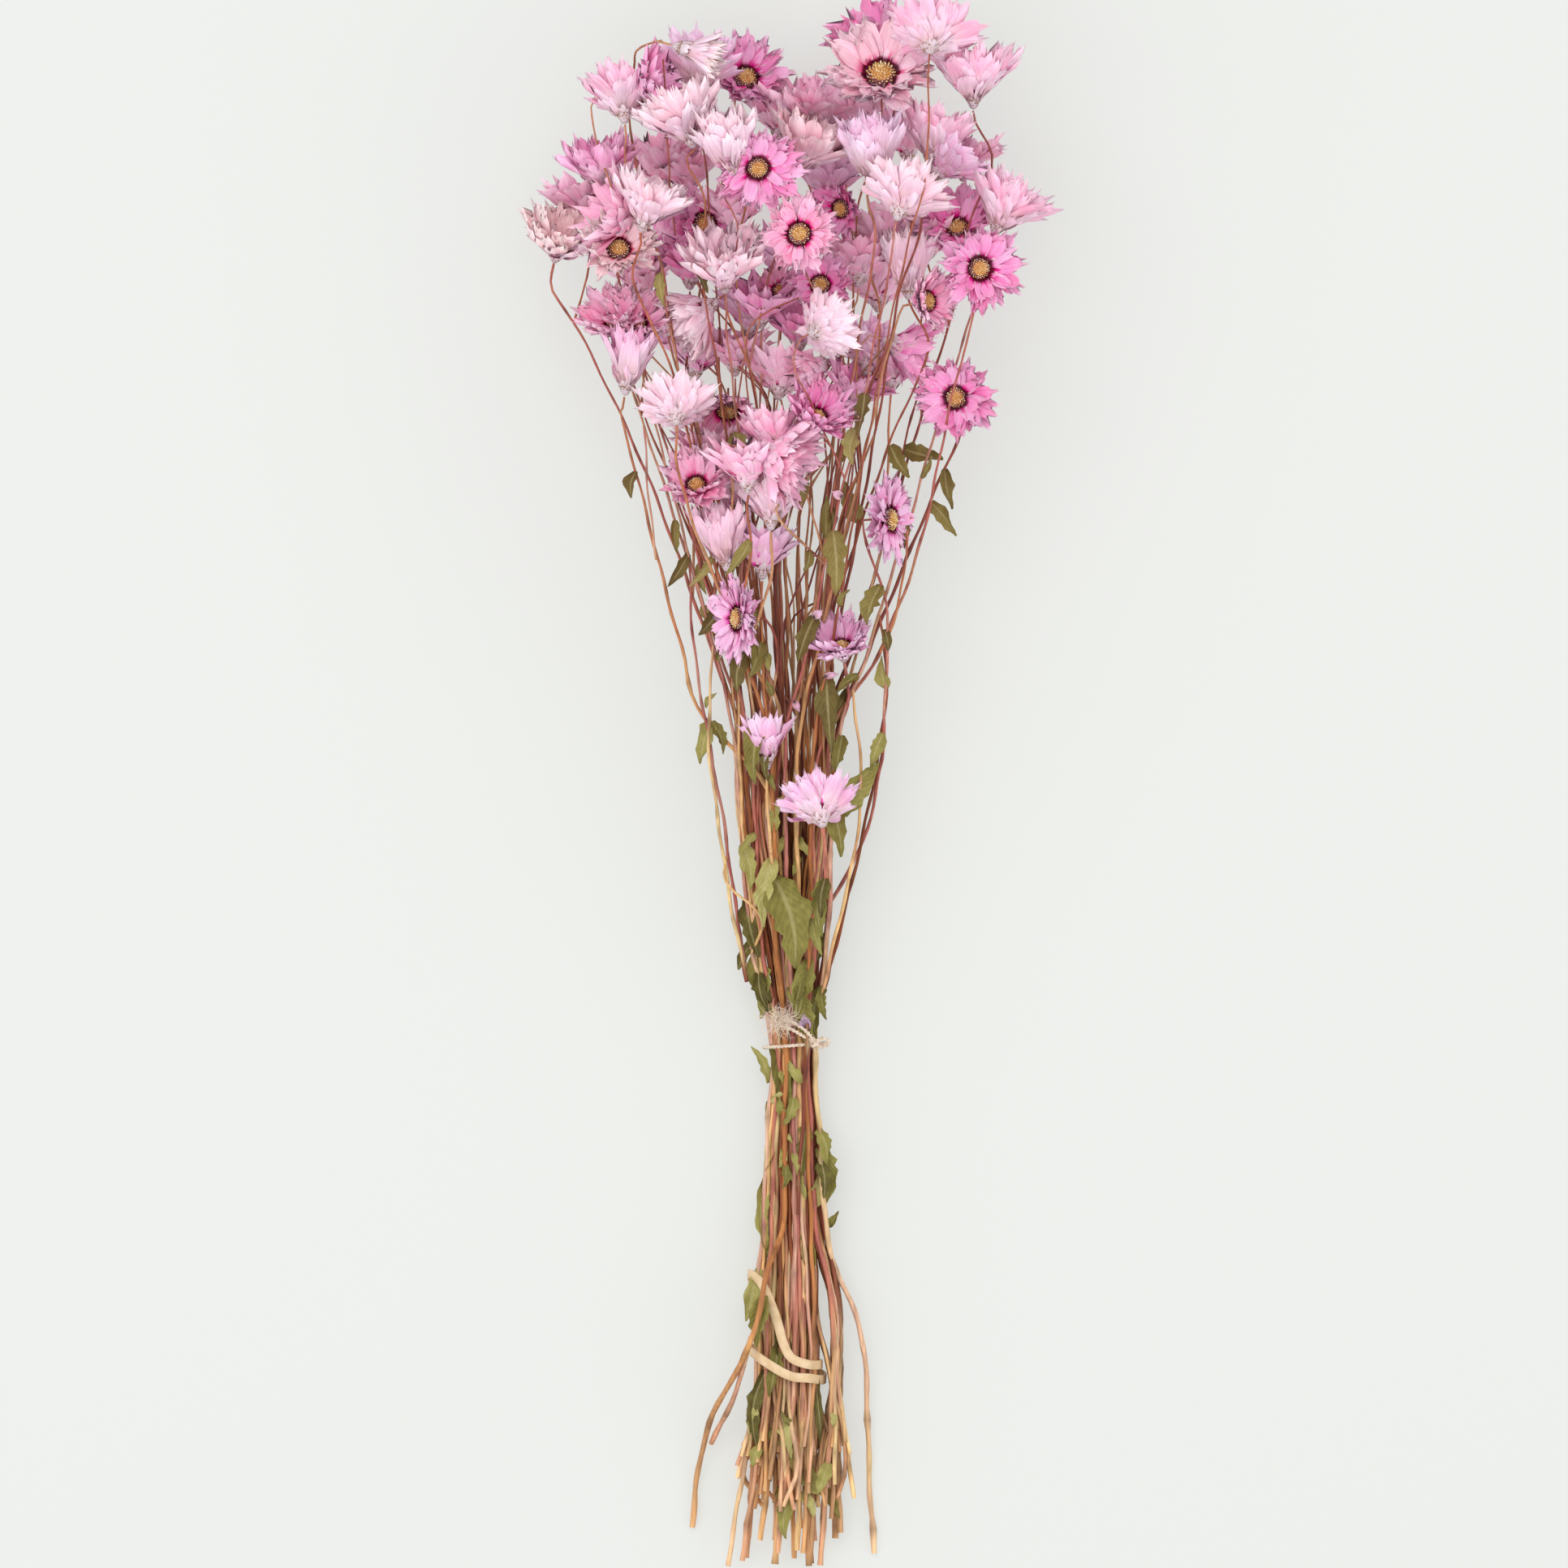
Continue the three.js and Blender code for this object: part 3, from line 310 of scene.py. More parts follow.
def bract_shading():
    inputs = [(label, COLOUR, WHITE) for label in BRACT_COLOURS] + [("Flush", NUMBER, 0.42)]
    group, given, result = group_with("papery bract", inputs, [("Color", COLOUR), ("Height", NUMBER)])
    u, along, _ = parts_of(group, add(group, "ShaderNodeUVMap", uv_map="UVMap").outputs[0])
    outside = maths(group, "GREATER_THAN", u, 1.5)
    tone = attribute(group, "tone")
    drawn = combine(group, (u - outside * 2.0) * 26.0, along * 1.6, tone * 40.0)
    veins = noise(group, drawn, 1.0, 2.0)
    blotch = noise(group, object_place(group), 210.0, 2.0)
    upper = colour_mix(group, smooth_step(along, 0.4, 1.0), given["Middle"], given["Tip"])
    flush = (tone - 0.5) * 0.16 + given["Flush"]
    flushed = colour_mix(group, smooth_step(along, 0.12, flush), given["Base"], upper)
    footed = colour_mix(group, smooth_step(along, 0.09, 0.16), given["Foot"], flushed)
    backed = colour_mix(group, smooth_step(along, 0.15, 0.75), given["Outside"], upper)
    rooted = colour_mix(group, smooth_step(along, 0.10, 0.18), given["Foot"], backed)
    veined = shade_of(group, colour_mix(group, outside, footed, rooted), veins * 0.84 + 0.58)
    shift = {"Hue": tone * 0.02 + 0.49, "Saturation": tone * 0.40 + 0.80, "Value": blotch * 0.16 + 0.93}
    varied = add(group, "ShaderNodeHueSaturation", {**shift, "Color": veined})
    group.links.new(varied.outputs[0], result["Color"])
    group.links.new(veins.socket, result["Height"])
    return group


bract_group = bract_shading()


def paper_material(name, colours, flush=0.40):
    """The colours are those of the tip, the middle, the base, the foot and the outside."""
    material, tree = new_finish(name, 0.6, 0.3)
    inputs = {label: linear(*colour) for label, colour in zip(BRACT_COLOURS, colours)}
    paper = add(tree, "ShaderNodeGroup", {**inputs, "Flush": flush}, node_tree=bract_group)
    dress(tree, paper.outputs["Color"], paper.outputs["Height"], 0.35)
    return material


# %% The seven colours of the heads, and the pale scales below them
MAROON = (112, 20, 52)
SILVER = (243, 202, 215)  # the outside of a bract near its root
# tip, middle, base and how far the base colour spreads
PETAL_COLOURS = {
    "pink": ((254, 211, 228), (250, 177, 211), (226, 84, 148), 0.31),
    "vivid": ((252, 194, 223), (245, 157, 208), (218, 70, 148), 0.31),
    "magenta": ((250, 180, 215), (241, 146, 200), (212, 58, 138), 0.34),
    "pale": ((254, 226, 234), (251, 204, 221), (236, 132, 174), 0.28),
    "dusty": ((255, 222, 227), (252, 197, 210), (224, 104, 146), 0.30),
    "coral": ((255, 232, 232), (254, 214, 220), (234, 122, 152), 0.28),
    "lilac": ((250, 212, 236), (241, 178, 217), (214, 84, 162), 0.33),
}
# The finish of the lowest rings is greyer.
SHINGLE = [(242, 204, 226), (222, 182, 194), (204, 164, 170), (224, 186, 196)]
SCALE = [(246, 226, 234), (226, 202, 210), (200, 166, 164), (168, 128, 104), (214, 190, 198)]
PETALS, SHINGLES = {}, {}
for tone_name, (tip, middle, base, spread) in PETAL_COLOURS.items():
    PETALS[tone_name] = paper_material("petal_" + tone_name, (tip, middle, base, MAROON, SILVER), spread)
    SHINGLES[tone_name] = paper_material("shingle_" + tone_name, (tip, *SHINGLE), 0.55)
scale_paper = paper_material("scale_paper", SCALE, 0.5)
print("petal finishes:", list(PETALS))

# %% [markdown]
# ## The shapes that are repeated
# A head has three kinds of small part: long bracts, short scales and disc florets. Each is a little
# closed mesh with few faces, drawn once with its root at the origin and its tip along +X, and a bract
# ends in torn teeth. Six long bracts differ in how they cup, curl and narrow, and Geometry Nodes pick
# among them.

# %% One papery blade
def blade(name, seed, half_width, cup, curl, wave, narrow, rows=4, columns=6, thickness=0.012):
    draw = random_source(seed)
    tops, bottoms, uvs = [], [], []
    ragged = [[1 + 0.22 * (draw() - 0.5) for _ in range(2)] for _ in range(rows + 1)]
    lean = 0.10 * (draw() - 0.5)
    for row in range(rows + 1):
        level = row / rows
        opened = 0.46 + 0.54 * math.sin(0.5 * math.pi * min(level / 0.55, 1.0))
        width = half_width * opened * (1 - narrow * level**2.6)
        for column in range(columns + 1):
            side = 2 * column / columns - 1
            share = level
            if row == rows:
                tooth = 0.15 if (column + seed) % 2 else 0.0
                share = 0.87 + tooth - 0.19 * side * side + 0.07 * (draw() - 0.5)
            edge = ragged[row][0 if side < 0 else 1] if abs(side) > 0.9 and row else 1.0
            height = cup * half_width * side * side + curl * share**2
            height += wave * math.sin(5.2 * share + 2.6 * side + 6.28 * draw() * 0.14)
            height += 0.10 * half_width * math.cos(3 * math.pi * side) * share
            tops.append((share, side * width * edge + lean * share**2, height))
            rim = column in (0, columns) or row == rows
            under = (share, side * width * 0.96 + lean * share**2, height - thickness)
            bottoms.append(None if rim else under)
            uvs.append((column / columns, share))
    return join_sides(name, tops, bottoms, uvs, rows, columns)


def join_sides(name, tops, bottoms, uvs, rows, columns):
    """Closes a blade: the two sides share the rim and the torn end."""
    points = list(tops)
    below = []
    for k, point in enumerate(bottoms):
        if point is None:
            below.append(k)
        else:
            below.append(len(points))
            points.append(point)
    faces, face_uvs = [], []
    row_size = columns + 1
    for side, index in ((0, list(range(len(tops)))), (1, below)):
        for row in range(rows):
            for column in range(columns):
                a = row * row_size + column
                corner = [a, a + row_size, a + row_size + 1, a + 1]
                corner = corner if side == 1 else corner[::-1]
                faces.append([index[c] for c in corner])
                face_uvs.append([(uvs[c][0] + 2.0 * side, uvs[c][1]) for c in corner])
    root_cap = [below[k] for k in range(row_size)] + [k for k in range(columns - 1, 0, -1)]
    faces.append(root_cap)
    face_uvs.append([(2.5, 0.0)] * len(root_cap))
    thing = put(name, points, faces)
    layer = thing.data.uv_layers.new(name="UVMap")
    flat = [value for corners in face_uvs for pair in corners for value in pair]
    layer.data.foreach_set("uv", flat)
    rim = {k for k in range(len(tops)) if k % row_size in (0, columns) or k >= rows * row_size}
    for edge in thing.data.edges:
        edge.use_edge_sharp = edge.vertices[0] in rim and edge.vertices[1] in rim
    return thing


def shape_set(name, table, **mesh):
    """A collection that Geometry Nodes can pick a shape from."""
    kept = bpy.data.collections.new(name)
    for seed, *shape in table:
        piece = blade(f"{name}_{seed}", seed, *shape, **mesh)
        bpy.context.collection.objects.unlink(piece)
        kept.objects.link(piece)
    return kept


# seed, half width, cup, curl, wave, how much it narrows
LONG_BRACTS = [
    (11, 0.235, 0.30, 0.03, 0.018, 0.84),
    (12, 0.210, 0.42, 0.11, 0.026, 0.80),
    (13, 0.250, 0.22, -0.08, 0.022, 0.76),
    (14, 0.190, 0.60, -0.02, 0.036, 0.66),
    (15, 0.255, 0.36, 0.17, 0.030, 0.86),
    (16, 0.215, 0.15, 0.06, 0.048, 0.72),
]
# Heads that are mostly hidden wear a plainer set.
FAR_BRACTS = [
    (31, 0.240, 0.30, 0.04, 0.020, 0.80),
    (32, 0.210, 0.42, 0.12, 0.030, 0.74),
    (34, 0.250, 0.25, -0.06, 0.040, 0.66),
]
SHORT_SCALES = [
    (21, 0.34, 0.36, 0.10, 0.01, 0.64),
    (22, 0.38, 0.42, 0.16, 0.02, 0.64),
    (23, 0.30, 0.30, 0.02, 0.02, 0.64),
]
long_bracts = shape_set("long_bracts", LONG_BRACTS)
far_bracts = shape_set("far_bracts", FAR_BRACTS, rows=3, columns=3)
short_scales = shape_set("short_scales", SHORT_SCALES, rows=3, columns=2, thickness=0.03)

# %% [markdown]
# ## One ring of bracts, as a Geometry Nodes tree
# Every layer of a head is a ring of the same kind of blade, leaning out at one angle. The tree lays
# points on a circle, picks a blade for each, and turns, leans and sizes it with a fixed seed. A head
# stacks this tree several times as modifiers: scales first, then the long bracts layer by layer.

# %% Tree: a ring of bracts
def nodes_tree(name, **labels):
    """A new tree; after the geometry come its inputs, named for each kind of socket."""
    tree = bpy.data.node_groups.new(name, "GeometryNodeTree")
    for kind, names in {"Geometry": ["Geometry"], **labels}.items():
        for label in names:
            tree.interface.new_socket(name=label, in_out="INPUT", socket_type="NodeSocket" + kind)
    tree.interface.new_socket(name="Geometry", in_out="OUTPUT", socket_type="NodeSocketGeometry")
    given = {output.name: Number(tree, output) for output in tree.nodes.new("NodeGroupInput").outputs}
    return tree, given, tree.nodes.new("NodeGroupOutput").inputs[0]


def any_number(seed, low, high, offset):
    """A random number for each point; the offset keeps the draws of one tree apart."""
    inputs = {2: low, 3: high, "Seed": seed + offset}
    node = add(seed.tree, "FunctionNodeRandomValue", inputs, data_type="FLOAT")
    return Number(seed.tree, node.outputs[1])


def point_numbers(tree):
    return Number(tree, tree.nodes.new("GeometryNodeInputIndex").outputs[0])


def on_circle(tree, radius, angle, height):
    return combine(tree, radius * maths(tree, "COSINE", angle), radius * maths(tree, "SINE", angle), height)


def repeats(tree, given, last, spot, turn, size, shape):
    """Repeats of a shape on points, each with its own tone, joined to what was there as real mesh."""
    points = add(tree, "GeometryNodePoints", {"Count": given["Count"], "Position": spot})
    facing = add(tree, "FunctionNodeEulerToRotation", {0: combine(tree, *turn)})
    standing = {"Points": points.outputs[0], "Rotation": facing.outputs[0], "Scale": combine(tree, *size)}
    placed = add(tree, "GeometryNodeInstanceOnPoints", {**standing, **shape})
    tone = {"Geometry": placed.outputs[0], "Name": "tone", "Value": any_number(given["Seed"], 0.0, 1.0, 91)}
    toned = add(tree, "GeometryNodeStoreNamedAttribute", tone, data_type="FLOAT", domain="INSTANCE")
    finish = {"Geometry": toned.outputs[0], "Material": given["Finish"]}
    painted = add(tree, "GeometryNodeSetMaterial", finish)
    joined = add(tree, "GeometryNodeJoinGeometry", {0: painted.outputs[0]})
    tree.links.new(given["Geometry"].socket, joined.inputs[0])
    real = add(tree, "GeometryNodeRealizeInstances", {"Geometry": joined.outputs[0]})
    tree.links.new(real.outputs[0], last)
    return tree


def bract_ring_tree():
    numbers = ["Length", "Width", "Lift", "Spread", "Root Radius", "Root Height", "Turn"]
    kinds = {"Collection": ["Shapes"], "Material": ["Finish"], "Int": ["Count", "Seed"], "Float": numbers}
    tree, given, last = nodes_tree("bract ring", **kinds)
    seed, step = given["Seed"], 2 * math.pi / given["Count"]
    angle = point_numbers(tree) * step + any_number(seed, -0.28, 0.28, 1) * step + given["Turn"]
    spot = on_circle(tree, given["Root Radius"], angle, given["Root Height"])
    rise = given["Lift"] + any_number(seed, -1.0, 1.0, 2) * given["Spread"]
    turn = (any_number(seed, -0.30, 0.30, 3), rise * -1.0, angle + any_number(seed, -0.13, 0.13, 4))
    length = given["Length"] * any_number(seed, 0.80, 1.08, 5)
    width = length * given["Width"] * any_number(seed, 0.82, 1.14, 6)
    pick = add(tree, "FunctionNodeRandomValue", {4: 0, 5: 11, "Seed": seed}, data_type="INT").outputs[2]
    children = {"Collection": given["Shapes"], "Separate Children": True, "Reset Children": True}
    shapes = add(tree, "GeometryNodeCollectionInfo", children).outputs[0]
    shape = {"Instance": shapes, "Pick Instance": True, "Instance Index": pick}
    return repeats(tree, given, last, spot, turn, (length, width, length), shape)


bract_ring = bract_ring_tree()

# %% [markdown]
# ## The disc in the middle
# The disc is a low dome of eighty or so tiny florets. They stand in the spiral that daisies grow, so
# the tree puts each point a golden angle further round and the square root of its number further out.

# %% Tree: a dome of florets
def floret_mesh():
    points = []
    for radius, height in ((0.42, -0.4), (0.5, 0.25), (0.3, 0.72)):
        points += ring_points(radius, height, 5)
    points.append((0.0, 0.0, 0.62))
    faces = ring_faces(0, 5, 5) + ring_faces(5, 10, 5)
    faces += [(10 + k, 10 + (k + 1) % 5, 15) for k in range(5)]
    return put("floret", points, [*faces, (4, 3, 2, 1, 0)])


floret = floret_mesh()
bpy.context.collection.objects.unlink(floret)
GOLDEN_ANGLE = 2.39996


def floret_dome_tree():
    kinds = {"Material": ["Finish"], "Int": ["Count", "Seed"], "Float": ["Radius", "Height", "Size"]}
    tree, given, last = nodes_tree("floret dome", Object=["Shape"], **kinds)
    index, seed = point_numbers(tree), given["Seed"]
    share = (index + 0.5) / given["Count"]
    out = maths(tree, "SQRT", share)
    angle = index * GOLDEN_ANGLE
    height = given["Height"] * (1.0 - maths(tree, "POWER", share, 1.3))
    spot = on_circle(tree, out * given["Radius"], angle, height)
    turn = (0.0, out * 0.75 + any_number(seed, -0.2, 0.2, 1), angle)
    size = given["Size"] * any_number(seed, 0.75, 1.3, 2)
    tall = size * any_number(seed, 0.9, 2.1, 3)
    shape = add(tree, "GeometryNodeObjectInfo", {"Object": given["Shape"]}).outputs["Geometry"]
    return repeats(tree, given, last, spot, turn, (size, size, tall), {"Instance": shape})


floret_dome = floret_dome_tree()
disc_paint, disc_tree = new_finish("disc_florets", 0.8)
DISC_STOPS = [(0.0, (196, 138, 76)), (0.35, (228, 188, 112)), (0.7, (242, 214, 150)), (1.0, (252, 238, 194))]
dress(disc_tree, ramp_of(disc_tree, attribute(disc_tree, "tone"), DISC_STOPS))

# %% [markdown]
# ## The flower heads
# Each row places one head: the middle of its disc, the way it faces, how far its bracts reach and how
# steeply they stand. Open daisies have a low lift, cups and buds a high one. The rows hold the same real
# sizes as the solids do, in millimetres and degrees, so each fine head stands where its solid is.

# %% Where the heads are
# number, x, y, z, heading, tilt, reach, lift, disc radius, how much of it shows, colour
HEADS = [
    (1, 34.5, 564.0, 34, 118, 15, 16, 47, 3.6, "far", "magenta"),
    (2, 54.6, 564.0, 80.6, 85, -50, 16, 34, 4.0, "full", "pink"),
    (3, 36.3, 551.4, 57.2, 90, 50, 17, 30, 6.2, "full", "pink"),
    (4, 70.5, 546.0, 61, 88, 0, 19, 49, 4.0, "full", "pink"),
    (5, 10.5, 534.6, 39.2, 88, 8, 20, 37, 4.2, "full", "coral"),
    (6, -59.1, 540.0, 68.4, 95, -25, 16, 47, 4.0, "full", "pink"),
    (7, -49.8, 546.9, 71.0, 24, 22, 14, 42, 3.6, "far", "vivid"),
    (8, -31.5, 551.4, 59.2, 92, -30, 16, 39, 4.0, "full", "vivid"),
    (9, -33.9, 560.4, 88, -15, 5, 12, 70, 3.0, "full", "pale"),
    (10, -13.8, 550.2, 36.4, 60, 55, 13, 34, 4.6, "full", "vivid"),
    (11, -67.2, 514.2, 54.4, 100, 5, 16, 45, 4.0, "full", "vivid"),
    (12, -35.7, 531.0, 81.6, 112, -5, 19, 45, 4.0, "full", "pale"),
    (13, -19.8, 520.5, 88, 100, 10, 18, 62, 4.0, "full", "pale"),
    (14, -9.3, 516.9, 84, -60, 75, 14, 26, 4.0, "full", "vivid"),
    (15, -50.4, 500.4, 81.6, 72, 0, 16, 45, 4.0, "full", "pale"),
    (16, -59.1, 497.4, 67, 150, 18, 18, 41, 3.8, "far", "pale"),
    (17, -83.1, 487.8, 50, 75, 35, 15, 41, 4.0, "full", "coral"),
    (18, -60.9, 486.9, 70, 90, 60, 13, 38, 4.4, "full", "coral"),
    (19, -29.1, 496.2, 44, 0, 70, 12, 32, 4.4, "full", "vivid"),
    (20, 8.1, 521.1, 63.2, 65, 5, 18, 43, 4.0, "full", "dusty"),
    (21, 32.7, 517.5, 76, 95, 5, 19, 62, 4.0, "full", "vivid"),
    (22, 55.2, 525.0, 62, 78, -10, 16, 49, 4.0, "full", "pink"),
    (23, 59.4, 517.5, 61, 45, 0, 15, 47, 3.4, "far", "pink"),
    (24, 43.5, 503.4, 84, 75, -35, 16, 38, 4.0, "full", "pale"),
    (25, 21.3, 501.9, 54, 200, 60, 10, 38, 3.4, "full", "magenta"),
    (26, 6.0, 492.6, 86, 90, 84, 11, 20, 4.2, "full", "pink"),
    (27, 64.5, 494.7, 51.6, 100, 55, 13, 36, 4.0, "full", "vivid"),
    (28, 80.7, 498.6, 64.4, 65, -10, 18, 45, 4.0, "full", "pink"),
    (29, 72.6, 479.7, 82, 0, 76, 14, 26, 4.2, "full", "vivid"),
    (30, -21.9, 477.0, 80, 95, 30, 18, 51, 4.0, "full", "pale"),
    (31, 13.8, 473.7, 62, 90, 78, 10, 30, 3.6, "full", "vivid"),
    (32, -1.2, 471.6, 44, 90, 66, 8, 42, 2.8, "far", "dusty"),
    (33, 37.5, 488.4, 40, 80, -40, 15, 37, 3.6, "far", "pale"),
    (34, 46.2, 475.5, 56, 92, 0, 18, 72, 3.4, "full", "pale"),
    (35, 53.4, 467.7, 82, 10, 42, 10, 36, 3.8, "full", "pink"),
    (36, -62.1, 460.2, 56, 112, 45, 13, 58, 3.4, "full", "pink"),
    (37, -54.0, 459.6, 57, 80, 45, 13, 58, 3.4, "full", "pink"),
    (38, -57.6, 440.1, 66, 82, 0, 17, 72, 3.4, "full", "vivid"),
    (39, -39.6, 426.9, 74, 92, -48, 13, 34, 4.0, "full", "pale"),
    (40, -30.0, 464.1, 52.8, 215, 0, 16, 47, 3.6, "full", "pale"),
    (41, -32.1, 445.2, 29.6, 84, 0, 16, 47, 3.4, "far", "vivid"),
    (42, -20.4, 427.2, 46, 270, 46, 12, 36, 4.2, "full", "dusty"),
    (43, 13.8, 457.5, 82, 25, -50, 12, 36, 4.0, "full", "pale"),
    (44, 11.7, 443.1, 50, 200, 20, 10, 62, 3.2, "far", "pink"),
    (45, 12.6, 424.8, 78, 60, 50, 14, 50, 3.8, "full", "magenta"),
    (46, 63.9, 432.0, 62, 180, 80, 13, 26, 4.0, "full", "vivid"),
    (47, 32.1, 446.4, 42, 70, -30, 15, 37, 3.6, "far", "dusty"),
    (48, -0.9, 437.4, 38, 80, -30, 15, 41, 3.6, "far", "dusty"),
    (49, -3.9, 415.5, 77, 95, 0, 14, 60, 3.4, "far", "pale"),
    (50, -4.5, 410.4, 80, -20, 20, 18, 47, 4.0, "full", "pink"),
    (51, -32.1, 399.6, 66, 100, 60, 13, 42, 3.6, "full", "pink"),
    (52, -4.5, 390.0, 66, 90, -15, 16, 53, 3.8, "full", "pale"),
    (53, -21.6, 375.0, 60, 98, 0, 18, 68, 3.8, "full", "pink"),
    (54, -17.1, 350.4, 64, 180, 30, 12, 8, 4.2, "full", "pink"),
    (55, 39.9, 387.0, 60, 0, 28, 12, 0, 4.4, "full", "pink"),
    (56, 21.6, 339.9, 50, 100, 42, 12, 42, 3.6, "full", "dusty"),
    (57, -6.3, 301.5, 42, 92, 0, 14, 72, 3.0, "far", "dusty"),
    (58, 13.5, 279.0, 54, 100, -35, 14, 38, 4.0, "full", "pale"),
    (59, -13.5, 403.8, 79, 95, 5, 16, 47, 3.4, "far", "dusty"),
    (60, -41.7, 489.0, 12, 60, 0, 16, 47, 3.4, "far", "magenta"),
    (61, -8.1, 464.4, 46, 90, 20, 16, 47, 3.4, "far", "vivid"),
    (62, 43.5, 451.2, 55, -20, -10, 14, 47, 3.2, "far", "magenta"),
    (63, 35.1, 470.4, 12.3, 90, -20, 15, 37, 3.4, "far", "dusty"),
    (64, -45.0, 515.4, 9.6, 100, 10, 16, 47, 3.4, "far", "dusty"),
    (65, -36.0, 512.4, 8.9, 90, 10, 16, 47, 3.4, "far", "dusty"),
    (66, 45.9, 525.6, 10, 90, 0, 16, 47, 3.4, "far", "dusty"),
]
FUSED = [(6, 7), (13, 14), (16, 18), (22, 23), (32, 61), (36, 37), (49, 50, 59), (64, 65)]
CONE_DEPTH = 7.5  # scaly cone between the stem and the disc
AIR = 0.4
PUFF = 1.12  # the fine bracts reach a little further than the solid ones
# A few heads are fresher in colour than the paint of their solids, and head 3 is also painted paler: painted
# light for the shade it lies in.
FRESH_AND_LIT = {3: "pale", 5: "pink", 9: "coral", 42: "pink", 45: "vivid"}
FRESH_AND_LIT |= dict.fromkeys((8, 21, 23, 47, 54, 55, 56, 57, 58, 102, 106, 112, 119), "lilac")
# Two cups lie open far enough to look into: their bracts lift less than the solid ones.
OPENED = {36: 36, 37: 36}


class Head:
    def __init__(self, number, x, y, z, heading, tilt, reach, lift, disc, kind, tone):
        turned, tipped = math.radians(heading), math.radians(tilt)
        flat = math.cos(tipped)
        self.number, self.reach, self.disc, self.tilt = number, reach, disc, tilt
        self.lift = OPENED.get(number, lift)
        self.full, self.slot = kind == "full", tone + "_petals"
        # Far heads that are pale or dusty are painted the stronger pink instead: painted bounce light, for
        # the pink light that gathers between the petals inside the bunch.
        hidden_bounce_painted = kind == "far" and tone in ("pale", "dusty")
        self.tone = FRESH_AND_LIT.get(number, "pink" if hidden_bounce_painted else tone)
        self.facing = Vector((flat * math.cos(turned), flat * math.sin(turned), math.sin(tipped)))
        self.middle = Vector((x, y, z))
        self.base = self.middle - self.facing * (CONE_DEPTH + AIR)

    def matrix(self):
        turn = Vector((0, 0, 1)).rotation_difference(self.facing).to_matrix().to_4x4()
        return Matrix.Translation(self.middle) @ turn @ Matrix.Rotation(self.number * 1.7, 4, "Z")


heads = [Head(*row) for row in HEADS]
print("heads:", len(heads), "of them in full view:", sum(head.full for head in heads))

# %% Half-hidden heads
# Heads that show only in the gaps between the others, numbered from 101:
# x, y, z, heading, tilt, reach, lift, colour
BEHIND = [
    (-18, 447, 36, 92, 8, 14, 45, "pink"),
    (-12, 461, 34, 84, 5, 14, 45, "vivid"),
    (25.5, 433, 48, 70, 15, 14, 45, "vivid"),
    (-25.5, 411, 44, 98, 10, 14, 45, "pink"),
    (-18, 396, 48, 100, -5, 14, 50, "pale"),
    (-7.5, 372, 50, 88, -8, 14, 50, "vivid"),
    (-52.5, 475, 40, 95, 10, 14, 45, "pink"),
    (-18, 499, 52, 92, 0, 15, 45, "pink"),
    (28.5, 480, 42, 85, -10, 15, 42, "pale"),
    (54, 489, 42, 80, 10, 15, 45, "pink"),
    (-1.5, 534, 32, 90, 5, 15, 45, "dusty"),
    (16.5, 510, 38, 90, 0, 15, 45, "vivid"),
    (-34.5, 479, 38, 90, 10, 15, 45, "magenta"),
    (24, 534, 40, 88, -5, 15, 45, "pink"),
    (-75, 503, 40, 100, 0, 14, 45, "pink"),
    (40.5, 441, 40, 85, 5, 14, 45, "dusty"),
    (6, 456, 34, 90, 10, 14, 45, "magenta"),
    (67.5, 519, 42, 80, 5, 14, 45, "pink"),
    (-1.5, 483, 40, 90, 12, 14, 45, "vivid"),
]
behind = [Head(101 + k, *row[:7], 3.4, "far", row[7]) for k, row in enumerate(BEHIND)]
# The piece that each of them joins is the one that stands nearest to it.
hosts = {head.number: [] for head in heads}
for hidden in behind:
    nearest = min(heads, key=lambda head: (head.middle - hidden.middle).length)
    hosts[nearest.number].append(hidden)

# %% [markdown]
# The layers of a head share one rule. The lowest rings are short and pale, where the scales turn into
# petals. Then come the longest bracts, and further in they get shorter and stand up more.

# %% The layers of one head
def set_inputs(modifier, tree, values):
    """A modifier's inputs are set by their identifiers, before the object is first evaluated."""
    identifiers = {item.name: item.identifier for item in tree.interface.items_tree if item.in_out == "INPUT"}
    for label, value in values.items():
        modifier[identifiers[label]] = value


def add_tree(thing, tree, values):
    modifier = thing.modifiers.new(tree.name, "NODES")
    modifier.node_group = tree
    set_inputs(modifier, tree, values)


def add_ring(thing, shapes, finish, count, length, lift, height, radius, seed, spread=6.0, width=1.0):
    values = {
        "Shapes": shapes,
        "Finish": finish,
        "Count": count,
        "Length": length,
        "Width": width,
        "Lift": math.radians(min(lift, 84.0)),
        "Spread": math.radians(spread),
        "Root Radius": radius,
        "Root Height": height,
        "Turn": 0.37 * seed,
        "Seed": seed,
    }
    add_tree(thing, bract_ring, values)


def core_profile(disc):
    cone = [(1.2, -6.9), (1.9, -5.4), (0.74 * disc, -3.2), (0.92 * disc, -1.5), (0.96 * disc, -0.4)]
    return [*cone, (0.9 * disc, 0.1), (0.62 * disc, 0.22 * disc), (0.3 * disc, 0.32 * disc)]


